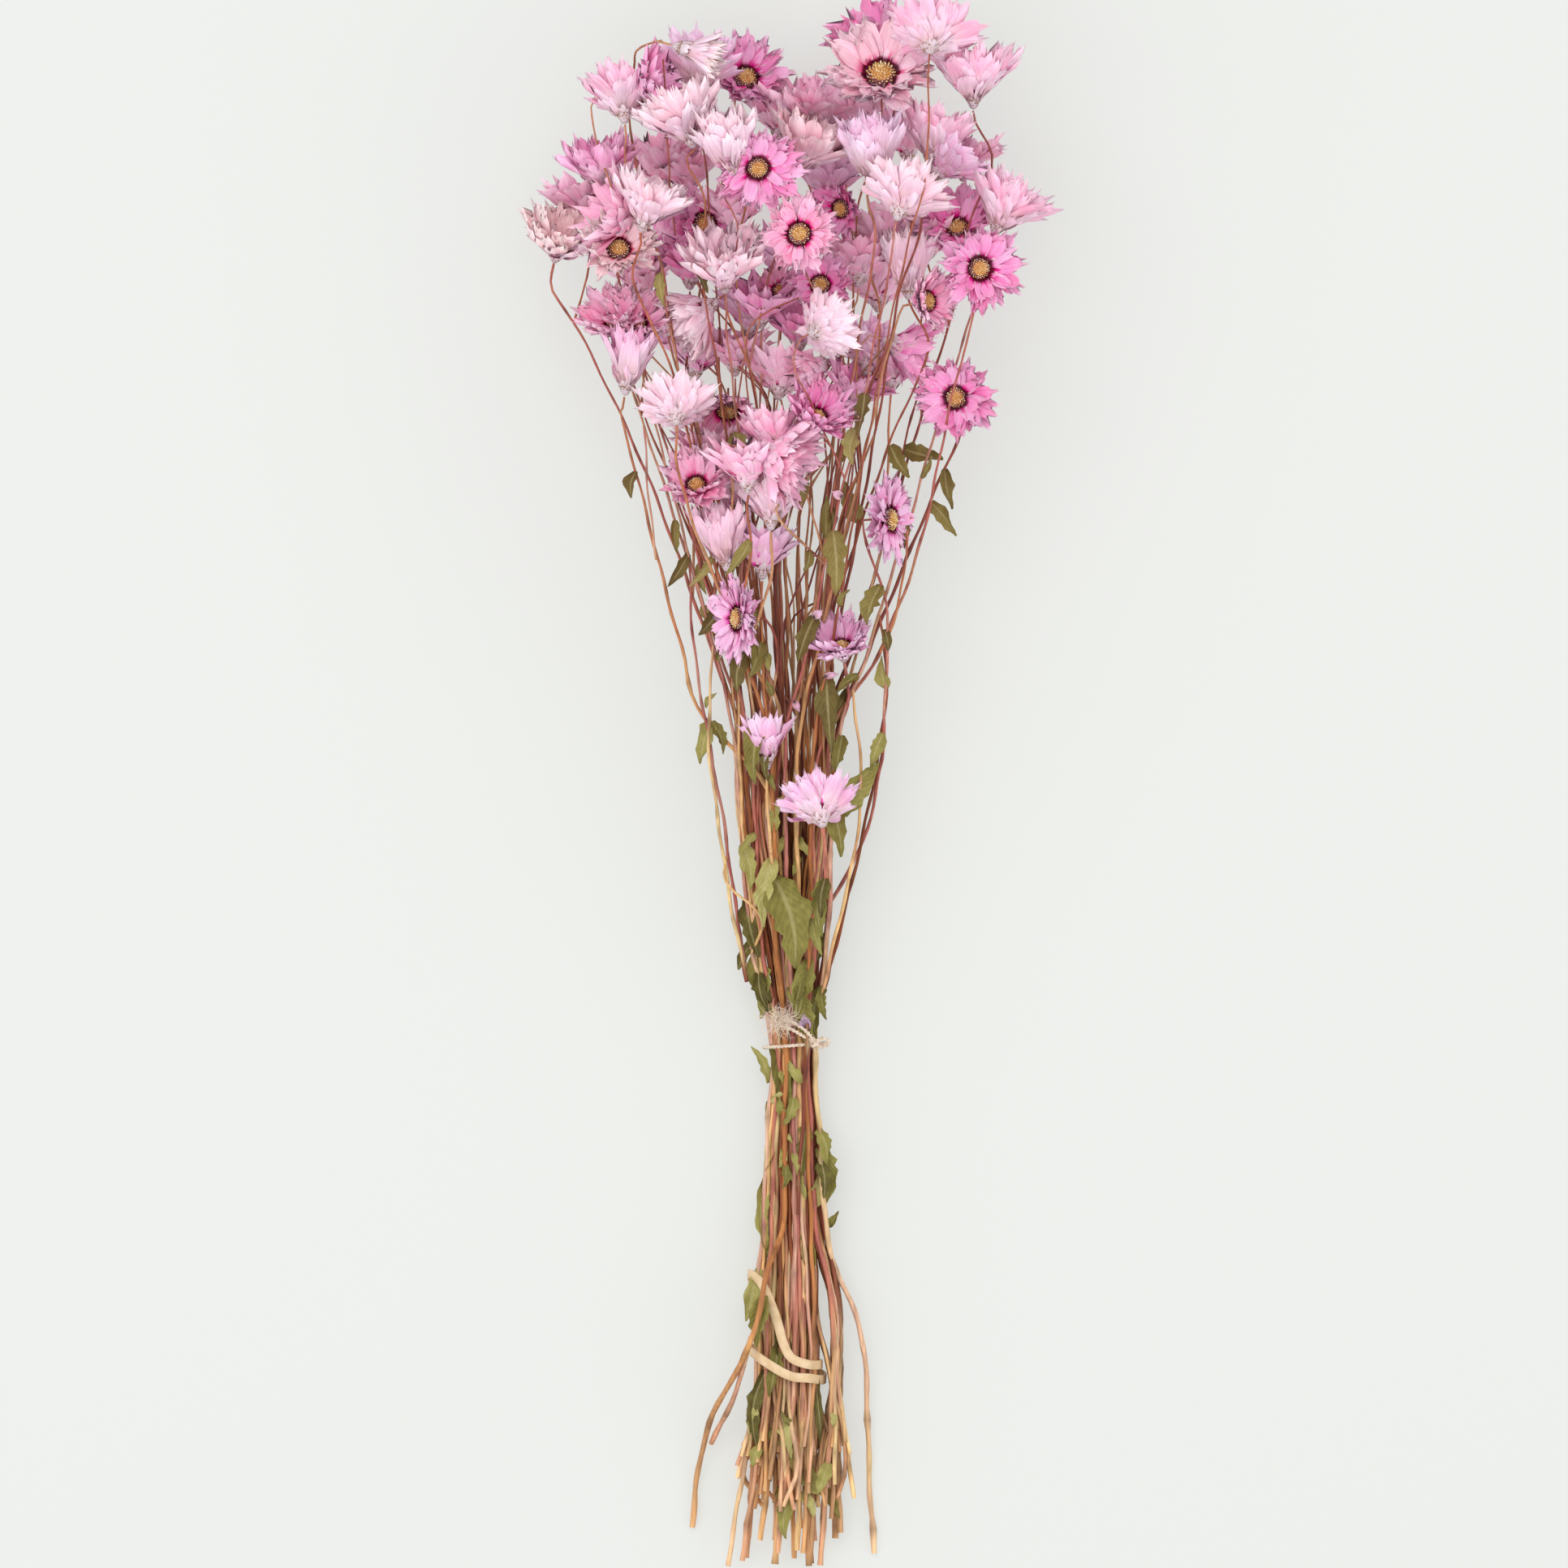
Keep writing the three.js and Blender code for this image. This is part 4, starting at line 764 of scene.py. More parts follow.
def head_core(head):
    """The solid middle of a head: the cone that the scales sit on, and the dome under the florets."""
    sides, profile = 12, core_profile(head.disc)
    points = [(0.0, 0.0, -CONE_DEPTH)]
    for radius, height in profile:
        points += ring_points(radius, height, sides)
    points.append((0.0, 0.0, 0.34 * head.disc))
    top = len(points) - 1
    faces = [(0, 1 + (k + 1) % sides, 1 + k) for k in range(sides)]
    for low in range(1, top - sides, sides):
        faces += ring_faces(low, low + sides, sides)
    faces += [(top - sides + k, top - sides + (k + 1) % sides, top) for k in range(sides)]
    core = put("core", points, faces, [scale_paper, PETALS[head.tone], disc_paint])
    layer = core.data.uv_layers.new(name="UVMap")
    for polygon in core.data.polygons:
        height = polygon.center.z
        ringed = polygon.center.xy.length > 0.66 * head.disc
        polygon.material_index = 0 if height < -0.1 else 1 if ringed else 2
        for corner in polygon.loop_indices:
            layer.data[corner].uv = (0.5, 0.02) if height > -0.1 else (2.5, 0.4)
    return core


def head_layers(head):
    """Makes one head at the origin, facing +Z, and returns its plain mesh."""
    thing = head_core(head)
    paint, reach, lift = PETALS[head.tone], PUFF * head.reach, head.lift
    disc, seed = head.disc, head.number * 10
    hug = 38 + 0.62 * (lift - 15)
    cone = ((-7.1, 1.0, 3.2), (-6.3, 1.5, 3.9), (-5.4, 2.0, 4.6), (-4.6, 2.5, 5.2))
    for k, (height, radius, length) in enumerate(cone):
        steep = hug + 8 - 2 * k
        add_ring(thing, short_scales, scale_paper, 7 + k, length, steep, height, radius, seed + k, 6)
    # height, share of the disc's radius, share of the reach, lift, count: from the lowest ring inwards
    layers = [(-4.0, 0.66, 0.46, 4, 10), (-3.2, 0.76, 0.62, 1, 12), (-2.4, 0.86, 0.80, -1, 13)]
    layers += [(-1.5, 0.95, 1.06, -4, 14), (-0.9, 0.93, 1.07, 5, 13)]
    cup_from_side = lift > 32 and head.tilt < 40
    if head.full:
        layers.append((-0.4, 0.92, 0.95, 14, 12) if cup_from_side else (-0.4, 0.92, 0.86, 8, 12))
    if head.full and cup_from_side:
        layers.append((0.0, 0.90, 0.66, 26, 10))
    slim = 0.6 if lift == 70 else 1.0
    shapes = long_bracts if head.full else far_bracts
    for k, (height, radius, length, more_lift, count) in enumerate(layers):
        papery = head.full and k < (4 if lift > 55 else 3)
        finish = SHINGLES[head.tone] if papery else paint
        wide = slim * (1.5 - 0.1 * k if k < 3 else 1.0)
        size = (count, length * reach, lift + more_lift, height, radius * disc)
        add_ring(thing, shapes, finish, *size, seed + 20 + k, 8, wide)
    count, size = (80, 0.115) if head.full else (36, 0.18)
    florets = {"Shape": floret, "Finish": disc_paint, "Count": count, "Seed": seed + 9}
    florets |= {"Radius": 0.86 * disc, "Height": 0.34 * disc, "Size": size * disc}
    add_tree(thing, floret_dome, florets)
    return settle(thing, head.matrix())


def settle(thing, matrix):
    """Turns a piece with modifiers into a plain mesh that stands in its place in the frame."""
    evaluated = thing.evaluated_get(bpy.context.evaluated_depsgraph_get())
    mesh = bpy.data.meshes.new_from_object(evaluated)
    mesh.transform(TO_FRAME @ matrix)
    mesh.name = thing.name
    old = thing.data
    bpy.data.objects.remove(thing)
    bpy.data.meshes.remove(old)
    return mesh


def pressed(mesh):
    """Bracts that would pass through the surface, or rise above the bunch, lie flat against that height."""
    values = np.empty(len(mesh.vertices) * 3)
    mesh.vertices.foreach_get("co", values)
    z = values[2::3]
    low, high, room = 1.6 * MM, 100 * MM, 1.5 * MM
    under, over = np.minimum(z - low, 0.0), np.maximum(z - high, 0.0)
    sunk, risen = room * (1 - np.exp(under / room)), room * (1 - np.exp(-over / room))
    values[2::3] = np.clip(z, low, high) - sunk + risen
    mesh.vertices.foreach_set("co", values)
    return mesh


def one_piece(name, meshes):
    """Joins meshes in one named object that stands at the origin."""
    things = []
    for mesh in meshes:
        thing = bpy.data.objects.new(name, mesh)
        bpy.context.collection.objects.link(thing)
        things.append(thing)
    if len(things) > 1:
        with bpy.context.temp_override(active_object=things[0], selected_editable_objects=things):
            bpy.ops.object.join()
    things[0].name = name
    return things[0]


# %% Build every head and let it stand for its solid
def triangles(thing):
    return sum(len(polygon.vertices) - 2 for polygon in thing.data.polygons)


def node_name(numbers):
    kind = "bloom_pair_" if len(numbers) > 1 else "bloom_"
    return kind + "_".join(f"{number:02d}" for number in numbers)


fused_numbers = {number for numbers in FUSED for number in numbers}
groups = [(head.number,) for head in heads if head.number not in fused_numbers] + FUSED
total = 0
for numbers in groups:
    members = [head for head in heads if head.number in numbers]
    hidden = [head for member in members for head in hosts[member.number]]
    name = "head_" + "_".join(f"{number:02d}" for number in numbers)
    piece = one_piece(name, [pressed(head_layers(head)) for head in members + hidden])
    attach(piece, "root")
    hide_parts(node_name(numbers))
    total += triangles(piece)
print("pieces with heads:", len(groups), "triangles:", total)

# %% [markdown]
# ## The routes of the stems
# Below the fork the stems lie in a bundle, packed in its oval cross-section like seeds in a seed head.
# The bundle is narrow at the tie and fans out to the heads and to the cut ends. A stem takes the place
# in the bundle nearest to its head, wavers on its way and bends round the heads that it passes. The
# smaller branches end on the nearest stem. All of it repeats the solids' own rule.

# %% The bundle's cross-section
STEM_COUNT = 32
STATION_STEP = 32
TIE_Y = 192.6
BAND_MIDDLE, BAND_SHARE, BAND_OUTSIDE = (0.7, 11.6), 0.5, 17.9
# place along the bunch, middle across, half width, middle height, half height
SECTIONS = [
    (0, 2, 23, 8.4, 6.2), (40, 4.2, 20, 9.4, 6.8), (72, 6.2, 16.4, 12.2, 7.2),
    (102, 5.2, 13.8, 12.5, 7.2), (130, 4.7, 12.6, 9.4, 7.8), (160, 4.3, 10.8, 10, 7),
    (192.6, 4.2, 8.8, 10.6, 6.4), (219, 3, 13.8, 12.6, 8.6), (261, 2.6, 20.6, 19, 13.5),
    (309, 2.2, 22, 27, 20), (360, 0, 26, 34, 26), (420, 0, 42, 42, 33), (480, 0, 74, 48, 40),
    (600, 0, 86, 50, 42),
]


def section_at(y):
    high = next((k for k, row in enumerate(SECTIONS) if row[0] > y), len(SECTIONS) - 1)
    low_row, high_row = SECTIONS[max(high, 1) - 1], SECTIONS[max(high, 1)]
    share = min(max((y - low_row[0]) / (high_row[0] - low_row[0]), 0), 1)
    return [low + (up - low) * share for low, up in zip(low_row, high_row)][1:]


def soft_step(value, low, high):
    share = min(max((value - low) / (high - low), 0), 1)
    return share * share * (3 - 2 * share)


def in_section(slot, y):
    """A place in the bundle; beside the rubber band the stems on the right stay outside it."""
    x, half_width, z, half_height = section_at(y)
    free = x + slot[0] * half_width
    if slot[0] < BAND_SHARE:
        banded = BAND_MIDDLE[0] + BAND_MIDDLE[1] * (2 * (slot[0] + 1) / (BAND_SHARE + 1) - 1)
    else:
        banded = BAND_OUTSIDE + 9 * (slot[0] - BAND_SHARE)
    hold = soft_step(y, 40, 66) * (1 - soft_step(y, 92, 125))
    return Vector((free + (banded - free) * hold, y, z + slot[1] * half_height))


def seed_slots(count, offset=0.0):
    places = []
    for k in range(count):
        radius, angle = math.sqrt((k + 0.5) / count), k * GOLDEN_ANGLE + offset
        places.append((radius * math.cos(angle), radius * math.sin(angle)))
    return places


# %% Smooth curves through points
def smooth_points(points, count):
    """Evenly spaced places on a smooth curve through the points."""
    arms = [points[0] * 2 - points[1], *points, points[-1] * 2 - points[-2]]
    dense = [points[0]]
    steps = max(4, 220 // (len(points) - 1))
    for k in range(1, len(arms) - 2):
        p0, p1, p2, p3 = arms[k - 1 : k + 3]
        t0, t1, t2 = (max((b - a).length, 1e-4) ** 0.5 for a, b in ((p0, p1), (p1, p2), (p2, p3)))
        m1 = ((p1 - p0) / t0 - (p2 - p0) / (t0 + t1) + (p2 - p1) / t1) * t1
        m2 = ((p2 - p1) / t1 - (p3 - p1) / (t1 + t2) + (p3 - p2) / t2) * t1
        for step in range(1, steps + 1):
            s = step / steps
            place = p1 * (2 * s**3 - 3 * s**2 + 1) + m1 * (s**3 - 2 * s**2 + s)
            dense.append(place + p2 * (3 * s**2 - 2 * s**3) + m2 * (s**3 - s**2))
    table = np.array(dense)
    gone = np.concatenate([[0.0], np.cumsum(np.linalg.norm(np.diff(table, axis=0), axis=1))])
    wanted = np.linspace(0.0, gone[-1], count + 1)
    columns = [np.interp(wanted, gone, table[:, axis]) for axis in range(3)]
    return [Vector(row) for row in np.stack(columns, axis=1)]


# %% Bowed and loose stems
# Stems that bow away from the bunch on their way to a head: x and y from the head down.
BOWED = {
    9: [(-45, 564), (-50.1, 565.8), (-55.5, 564), (-59.1, 561), (-60.9, 556.5), (-60, 540), (-58.5, 515)],
    29: [(70.5, 463.5), (62.1, 447), (55.5, 411), (56.7, 385.5), (53.7, 369), (44.7, 352.2), (33, 333)],
    38: [(-60.3, 426.3), (-55.5, 411), (-51, 396), (-48.3, 378), (-44.7, 358.8), (-37.8, 342.3),
         (-31.2, 316.5)],
    55: [(38.4, 353.7), (40.5, 338.4), (40.2, 316.5), (36, 295.5), (29.1, 267)],
    17: [(-85.8, 472.5), (-79.5, 464.1), (-73.8, 457.8), (-72.6, 450.9), (-68.7, 442.2), (-60.3, 426.3),
         (-48, 408.3)],
}
# Loose ends that leave the bundle above the rubber band: x, y and z from the cut end up.
LOOSE_END_LEFT = [
    (-33.6, 14.4, 1.7), (-31.5, 34.5, 3.5), (-27.9, 51.3, 9), (-21.3, 65.1, 17),
    (-11.5, 84, 24.8), (-6.6, 106, 25.2),
]
LOOSE_FORK_LEFT = [(-11.8, 85, 24), (-16.6, 67, 17), (-26.7, 45.3, 5)]
LOOSE_END_RIGHT = [(33.6, 4.8, 1.7), (31.5, 40.2, 2.6), (31.2, 58.2, 4), (28.2, 89.1, 9), (19.5, 109.5, 11)]

# %% Routes from the heads to the cut ends
HEAD_MIDDLES = np.array([head.middle + head.facing * 0.18 * head.reach for head in heads])
HEAD_ROOM = np.array([0.7 * head.reach + 0.6 * head.disc + 2.5 for head in heads])


def bend_clear(points, own):
    """Moves the points of a stem sideways out of the heads that it passes."""
    for _ in range(24):
        for k in range(1, len(points) - 2):
            near = np.linalg.norm(HEAD_MIDDLES - np.array(points[k]), axis=1) < HEAD_ROOM + 8
            for j in np.flatnonzero(near):
                if heads[j] is own or points[k].y < 250:
                    continue
                away = points[k] - Vector(HEAD_MIDDLES[j])
                if away.length < HEAD_ROOM[j]:
                    away.y = 0
                    points[k] = points[k] + away.normalized() * 0.9
            points[k].z = max(points[k].z, 2)
            if k > 2:
                points[k] = points[k].lerp((points[k - 1] + points[k + 1]) / 2, 0.12)
    return points


def stem_top(head):
    top, bow = [head.base.copy(), head.base - head.facing * 4], BOWED.get(head.number, [])
    if not bow:
        top.append(head.base - head.facing * 9 + Vector((0, -8, 0)))
    low = in_section((0, 0), bow[-1][1] if bow else 0)
    for k, (x, y) in enumerate(bow):
        share = (k + 1) / len(bow)
        top.append(Vector((x, y, head.middle.z + share * (low.z - head.middle.z))))
    for point in top:
        point.z = max(point.z, 1.6)
    return top


def wander(start, end, draw):
    count = max(1, round((end - start).length / STATION_STEP))
    points = []
    for k in range(count - 1):
        point = start.lerp(end, (k + 1) / count)
        across, up = draw(), draw()
        points.append(point + Vector((2.4 * (across - 0.5), 0, 2.4 * (up - 0.5))))
    return points


def take_slot(head, free):
    x, half_width, z, half_height = section_at(head.base.y)
    wanted = ((head.base.x - x) / half_width, (head.base.z - z) / half_height)
    free.sort(key=lambda slot: math.hypot(slot[0] - wanted[0], slot[1] - wanted[1]))
    return free.pop(0)


def stem_tail(slot, draw):
    cut = 38 * draw() ** 1.6
    levels = [y for y in (232, TIE_Y, 158, 128, 96, 70) if y > cut + 14]
    return [in_section(slot, y) for y in [*levels, cut]]


def loose_tail(slot, ends):
    return [in_section(slot, y) for y in (232, TIE_Y, 158, 128)] + [Vector(end) for end in reversed(ends)]


def main_stem(head, slot, tail):
    draw = random_source(head.number * 31 + 5)
    top = stem_top(head)
    join_y = min(309, top[-1].y - 30)
    join = [in_section(slot, join_y)] if join_y > 250 else []
    return bend_clear([*top, *wander(top[-1], (join or tail)[0], draw), *join], head) + tail


order = sorted(heads, key=lambda head: -abs(head.base.x))
with_stem = [head for head in order if head.full][:STEM_COUNT]
free_slots = seed_slots(STEM_COUNT)
slots = {head.number: take_slot(head, free_slots) for head in with_stem}
leftmost = max(with_stem, key=lambda head: slots[head.number][1] - slots[head.number][0])
rightmost = max(with_stem, key=lambda head: slots[head.number][0])
routes, ring_places = [], []
for head in with_stem:
    slot = slots[head.number]
    tail = stem_tail(slot, random_source(head.number * 53 + 11))
    tail = loose_tail(slot, LOOSE_END_LEFT) if head is leftmost else tail
    tail = loose_tail(slot, LOOSE_END_RIGHT) if head is rightmost else tail
    points = main_stem(head, slot, tail)
    routes.append(points)
    ring_places += smooth_points(points, len(points) - 1)


def branch(head):
    top = stem_top(head)
    start = top[-1]
    low, high = max(start.y - 110, TIE_Y + 12), start.y - 18
    below = [place for place in ring_places if low < place.y < high]

    def detour(place):
        return math.hypot(place.x - start.x, place.z - start.z) + 0.25 * (start.y - place.y)

    end = min(below, key=detour)
    points = [*top, *wander(start, end, random_source(head.number * 71 + 3))]
    return bend_clear([*points, end.copy()], head)


branches = [branch(head) for head in order if head not in with_stem]
branches += [branch(head) for head in behind]
print("main stems:", len(routes), "branches:", len(branches))

# %% [markdown]
# ## Stems that follow their routes
# The dried stems are thin, a little uneven and slightly wavy, with a swelling at each old leaf node. A
# route becomes a chain of points that carry a thickness, a tone and a shade, and one Geometry Nodes tree
# sweeps a small round profile along all the chains at once. Between the stems that the solids show, the
# bundle is filled with thinner ones, as in the real bunch. They are painted darker the further inside
# the bundle they lie, as painted shade, and the cut ends are pale.

# %% Tree: sweep along chains
def sweep_tree():
    tree, given, last = nodes_tree("sweep along chains", Material=["Finish"], Int=["Sides"])
    chains = add(tree, "GeometryNodeMeshToCurve", {0: given["Geometry"]})
    ring = add(tree, "GeometryNodeCurvePrimitiveCircle", {"Resolution": given["Sides"], "Radius": 1.0})
    thick = add(tree, "GeometryNodeInputNamedAttribute", {"Name": "thick"}, data_type="FLOAT")
    along = {"Curve": chains.outputs[0], "Profile Curve": ring.outputs[0], "Scale": thick.outputs[0]}
    swept = add(tree, "GeometryNodeCurveToMesh", {**along, "Fill Caps": True})
    smooth = add(tree, "GeometryNodeSetShadeSmooth", {0: swept.outputs[0]})
    finish = {"Geometry": smooth.outputs[0], "Material": given["Finish"]}
    painted = add(tree, "GeometryNodeSetMaterial", finish)
    real = add(tree, "GeometryNodeRealizeInstances", {"Geometry": painted.outputs[0]})
    tree.links.new(real.outputs[0], last)
    return tree


sweep = sweep_tree()


def swept_piece(name, chains, finish, sides):
    """Each chain is a list of (point, thickness, tone, shade); returns the plain mesh of all of them."""
    points, edges, columns = [], [], {"thick": [], "tone": [], "shade": []}
    for chain in chains:
        first = len(points)
        for point, *values in chain:
            points.append(tuple(point))
            for column, value in zip(columns.values(), values):
                column.append(value)
        edges += [(k, k + 1) for k in range(first, len(points) - 1)]
    mesh = bpy.data.meshes.new(name)
    mesh.from_pydata(points, edges, [])
    for label, column in columns.items():
        mesh.attributes.new(label, "FLOAT", "POINT").data.foreach_set("value", column)
    thing = bpy.data.objects.new(name, mesh)
    bpy.context.collection.objects.link(thing)
    add_tree(thing, sweep, {"Finish": finish, "Sides": sides})
    return settle(thing, Matrix.Identity(4))


# %% Chains for the stems
def stem_thickness(y):
    return 1.08 - 0.62 * min(max((y - 190) / 240, 0), 1)


def stem_chain(points, seed, slim=1.0, spacing=4.5, depth_painted_shade=0.0):
    """A chain along a route, with its own thickness and tone, a fine waver and swollen nodes."""
    draw = random_source(seed)
    length = sum((b - a).length for a, b in zip(points, points[1:]))
    places = smooth_points(points, max(6, round(length / spacing)))
    tone, own = draw(), (0.74 + 0.30 * draw()) * slim
    phase, gap, next_node = 6.28 * draw(), 26 + 34 * draw(), 14 + 30 * draw()
    chain = []
    for k, place in enumerate(places):
        gone = length * k / (len(places) - 1)
        node = abs(gone - next_node) < spacing * 0.5
        if gone > next_node:
            next_node += gap * (0.7 + 0.6 * draw())
        inner = min(1.0, min(k, len(places) - 1 - k) / 3)
        waver = Vector((math.sin(gone * 0.21 + phase), 0, math.cos(gone * 0.17 + phase))) * 0.30 * inner
        thick = stem_thickness(place.y) * own * (1.0 + 0.10 * math.sin(gone * 0.45 + phase))
        place = place + waver
        place.z = max(place.z, thick + 0.05)
        cut_end = k > len(places) - 4 and place.y < 50
        # Nodes darken and cut ends pale in their own colour; elsewhere the depth value paints shade on stems
        # that lie inside the bundle.
        swell, shade = (1.30, 1.0) if node else (1.08, -0.6) if cut_end else (1.0, depth_painted_shade)
        chain.append((place, thick * swell, tone, shade))
    return chain


def fill_stem(k):
    """A thin stem between the others: it changes its place in the bundle as it goes, so that stems cross."""
    draw = random_source(900 + k * 7)
    low_slot, high_slot = fill_slots[k], fill_slots[(k * 7 + 3) % len(fill_slots)]
    top, cut = 250 + 220 * draw(), 20 + 28 * draw()
    levels = (470, 430, 390, 350, 310, 270, 232, TIE_Y, 158, 128, 96, 66, 36)
    stations = [y for y in levels if cut + 12 < y < top - 12]
    points = []
    for y in [top, *stations, cut]:
        share = soft_step(y, 20, 330)
        slot = [a + (b - a) * share for a, b in zip(low_slot, high_slot)]
        point = in_section(slot, y)
        loose = soft_step(y, 215, 330) * 4.0 + (1 - soft_step(y, 30, 70)) * 15.0
        points.append(point + Vector((loose * (draw() - 0.5), 0, loose * (draw() - 0.5))))
    near = [place for place in ring_places if abs(place.y - top) < 26]
    points[0] = min(near, key=lambda place: (place - points[0]).length).copy()
    return points


def places_of(rows):
    return [Vector(row) for row in rows]


def splayed(points, k):
    """The cut ends of the main stems spread a little, each its own way."""
    draw = random_source(70 + k * 11)
    end = points[-1] + Vector((13.0 * (draw() - 0.5), 0, 0))
    return [*points[:-1], end] if abs(points[-1].x) < 26 else points


FILL_COUNT = 112
fill_slots = [(0.94 * x, 0.94 * z) for x, z in seed_slots(FILL_COUNT, 1.3)]
chains = [stem_chain(splayed(points, k), 40 + k) for k, points in enumerate(routes)]
chains += [stem_chain(points, 340 + k, 0.86) for k, points in enumerate(branches)]
for k, slot in enumerate(fill_slots):
    # Painted shade: a stem that lies further inside the bundle is painted darker.
    depth_painted_shade = 1.5 * max(0.0, 0.9 - math.hypot(*slot))
    chains.append(stem_chain(fill_stem(k), 640 + k, 0.70, 6.0, depth_painted_shade))
chains.append(stem_chain(places_of(LOOSE_FORK_LEFT), 990, 0.9))
# Thin twigs that end in the open among the heads: x, y and z from the tip down.
TWIGS = [
    [(-44.4, 557.1, 78), (-43.6, 540, 77), (-42.3, 516.9, 74), (-40, 492, 66)],
    [(5.7, 468.9, 70), (-8.7, 462, 84), (-12.6, 457.8, 87), (-13.8, 447.6, 84), (-15.6, 440.7, 76),
     (-17, 428, 66)],
    [(-51.6, 421.8, 62), (-50.5, 408, 62), (-49.8, 396, 60), (-47, 372, 54)],
    [(-21, 262.2, 25), (-21.6, 255.3, 28), (-18.6, 249.9, 30), (-11.1, 243.6, 30), (-7.5, 237.6, 26),
     (-8.7, 232.8, 22), (-11.7, 226.8, 18)],
    [(46, 383, 52), (44.5, 366, 52), (41, 350, 50), (36, 338, 46)],
]
# One cut stem lies over the twine, and four more bow out beside the neck.
over_tie = [(8.9, 200.6, 3.4), (8.7, 194, 3.4), (8.4, 186, 2.6), (7.6, 170, 1.2)]
over_tie += [(6.2, 150, 0.6), (5.4, 130, 0.4)]
OVER_TIE = [(x, y, sum(section_at(y)[2:4]) + over) for x, y, over in over_tie]
BOWS = [
    [(-34.5, 372, 40), (-33, 340, 36), (-27.6, 306, 30), (-21.5, 272, 24), (-18.5, 250, 20), (-14, 222, 17)],
    [(37, 360, 40), (38.4, 330, 35), (34.5, 296, 28), (27.5, 262, 22), (21.6, 238, 18), (15.4, 214, 16)],
    [(-22, 334, 42), (-27.5, 304, 37), (-24, 276, 30), (-19.5, 246, 23), (-13.5, 216, 19)],
    [(20, 322, 42), (28.8, 290, 35), (26.4, 264, 27), (21, 240, 22), (14.5, 212, 18)],
]
for rows in BOWS:
    rows[0] = min(ring_places, key=lambda place: (place - Vector(rows[0])).length)
chains += [stem_chain(places_of(rows), 1200 + k, 0.72, 3.0) for k, rows in enumerate(TWIGS)]
chains.append(stem_chain(places_of(OVER_TIE), 1304, 0.85))
chains += [stem_chain(places_of(rows), 1310 + k, 0.74, 4.0) for k, rows in enumerate(BOWS)]

# %% [markdown]
# ## Bark of the stems
# Dried stems go from straw through terracotta to a dull red-brown, and a stem keeps its own colour all
# along. Fine ridges and stains run lengthwise, so the noise is drawn out along the bunch, and the nodes
# are darker. Stems that lie inside the bundle are darker too: painted shade.

# %% Stem material
BARK_STOPS = [
    (0.0, (100, 46, 24)), (0.16, (152, 80, 42)), (0.32, (202, 132, 72)), (0.48, (236, 194, 132)),
    (0.6, (198, 120, 98)), (0.72, (178, 98, 90)), (0.84, (224, 176, 150)), (0.93, (238, 206, 146)),
    (1.0, (128, 62, 42)),
]


def bark_material():
    material, tree = new_finish("stem_bark", 0.62, 0.35)
    streak = stretched_noise(tree, 900.0, (1.0, 0.05, 1.0))
    stain = stretched_noise(tree, 60.0, (1.0, 0.35, 1.0))
    colour = ramp_of(tree, attribute(tree, "tone") + (stain - 0.5) * 0.5, BARK_STOPS)
    _, height, _ = parts_of(tree, object_place(tree))
    # The upper stems are redder, and the cut ends have dried to straw.
    colour = colour_mix(tree, smooth_step(height, -0.04, 0.12) * 0.58, colour, linear(168, 86, 78))
    colour = colour_mix(tree, smooth_step(height, -0.16, -0.27) * 0.5, colour, linear(224, 184, 132))
    colour = shade_of(tree, colour, streak * 1.26 + 0.30)
    # The shade attribute darkens the nodes and pales the cut ends in their own colour, and darkens stems
    # inside the bundle as painted shade.
    colour = shade_of(tree, colour, 1.0 - attribute(tree, "shade") * 0.35)
    dress(tree, colour, streak, 0.5)
    return material


stem_bark = bark_material()
stem_mesh = swept_piece("stems_swept", chains, stem_bark, 6)
print("chains:", len(chains), "faces of the stems:", len(stem_mesh.polygons))

# %% [markdown]
# ## Dried leaves
# The leaves have dried olive green: narrow blades, folded along a pale midrib, curled at the tip, with
# toothed, rolled edges. Each one is a closed blade of its own with its own bends, on the same roots as
# the solids' leaves. Smaller scraps sit between them, long leaves lie half under the stems, and a few
# bracts have fallen on them.

# %% Where the leaves grow
# x, y, length, width, heading, rise
LEAVES = [
    (-37.5, 489, 20, 7, -86, -2), (-49.5, 480, 13, 5, -80, -3), (-9, 420, 14, 8, -100, 2),
    (37.5, 432, 16, 7, -100, 2), (31.5, 421, 14, 7, -95, 0), (47, 411, 15, 8, -15, 3),
    (42, 412, 14, 7, -60, 1), (16, 381, 24, 10, -88, 3), (37, 364, 16, 8, -108, 3),
    (6, 349, 18, 8, -110, 4), (-14, 337, 16, 8, -100, 3), (24, 331, 10, 5, -140, 2),
    (-27, 315, 13, 5, -72, 1), (20, 310, 14, 7, -100, 3), (40, 309, 15, 6, -110, 2),
    (22, 279, 25, 12, 48, 4), (-19, 264, 17, 7, -80, 2), (24, 261, 15, 6, -96, 1),
    (-2, 254, 35, 17, -78, 4), (6, 221, 14, 6, -95, 2), (16, 212, 13, 5, -80, 1),
    (-13, 221, 15, 6, -76, 1), (-1, 186, 17, 6, -88, 2), (-7, 171, 9, 5, 5, 1), (17, 163, 14, 6, -78, 1),
    (18, 150, 14, 6, -86, 1), (-9, 110, 20, 8, -104, 2), (-2, 82, 20, 7, -100, 1),
    (-14, 61, 13, 6, -96, 1), (19, 36, 12, 7, -110, 2),
]
stem_places = []
for points in routes + branches:
    rings = smooth_points(points, len(points) - 1)[1:]
    for a, b in zip(rings, rings[1:]):
        stem_places += [a.lerp(b, share) for share in (0, 0.2, 0.4, 0.6, 0.8)]
stem_table = np.array(stem_places)


def leaf_root(x, y):
    cost = np.hypot(stem_table[:, 0] - x, stem_table[:, 1] - y) - 0.45 * stem_table[:, 2]
    return stem_places[int(np.argmin(cost))].copy()


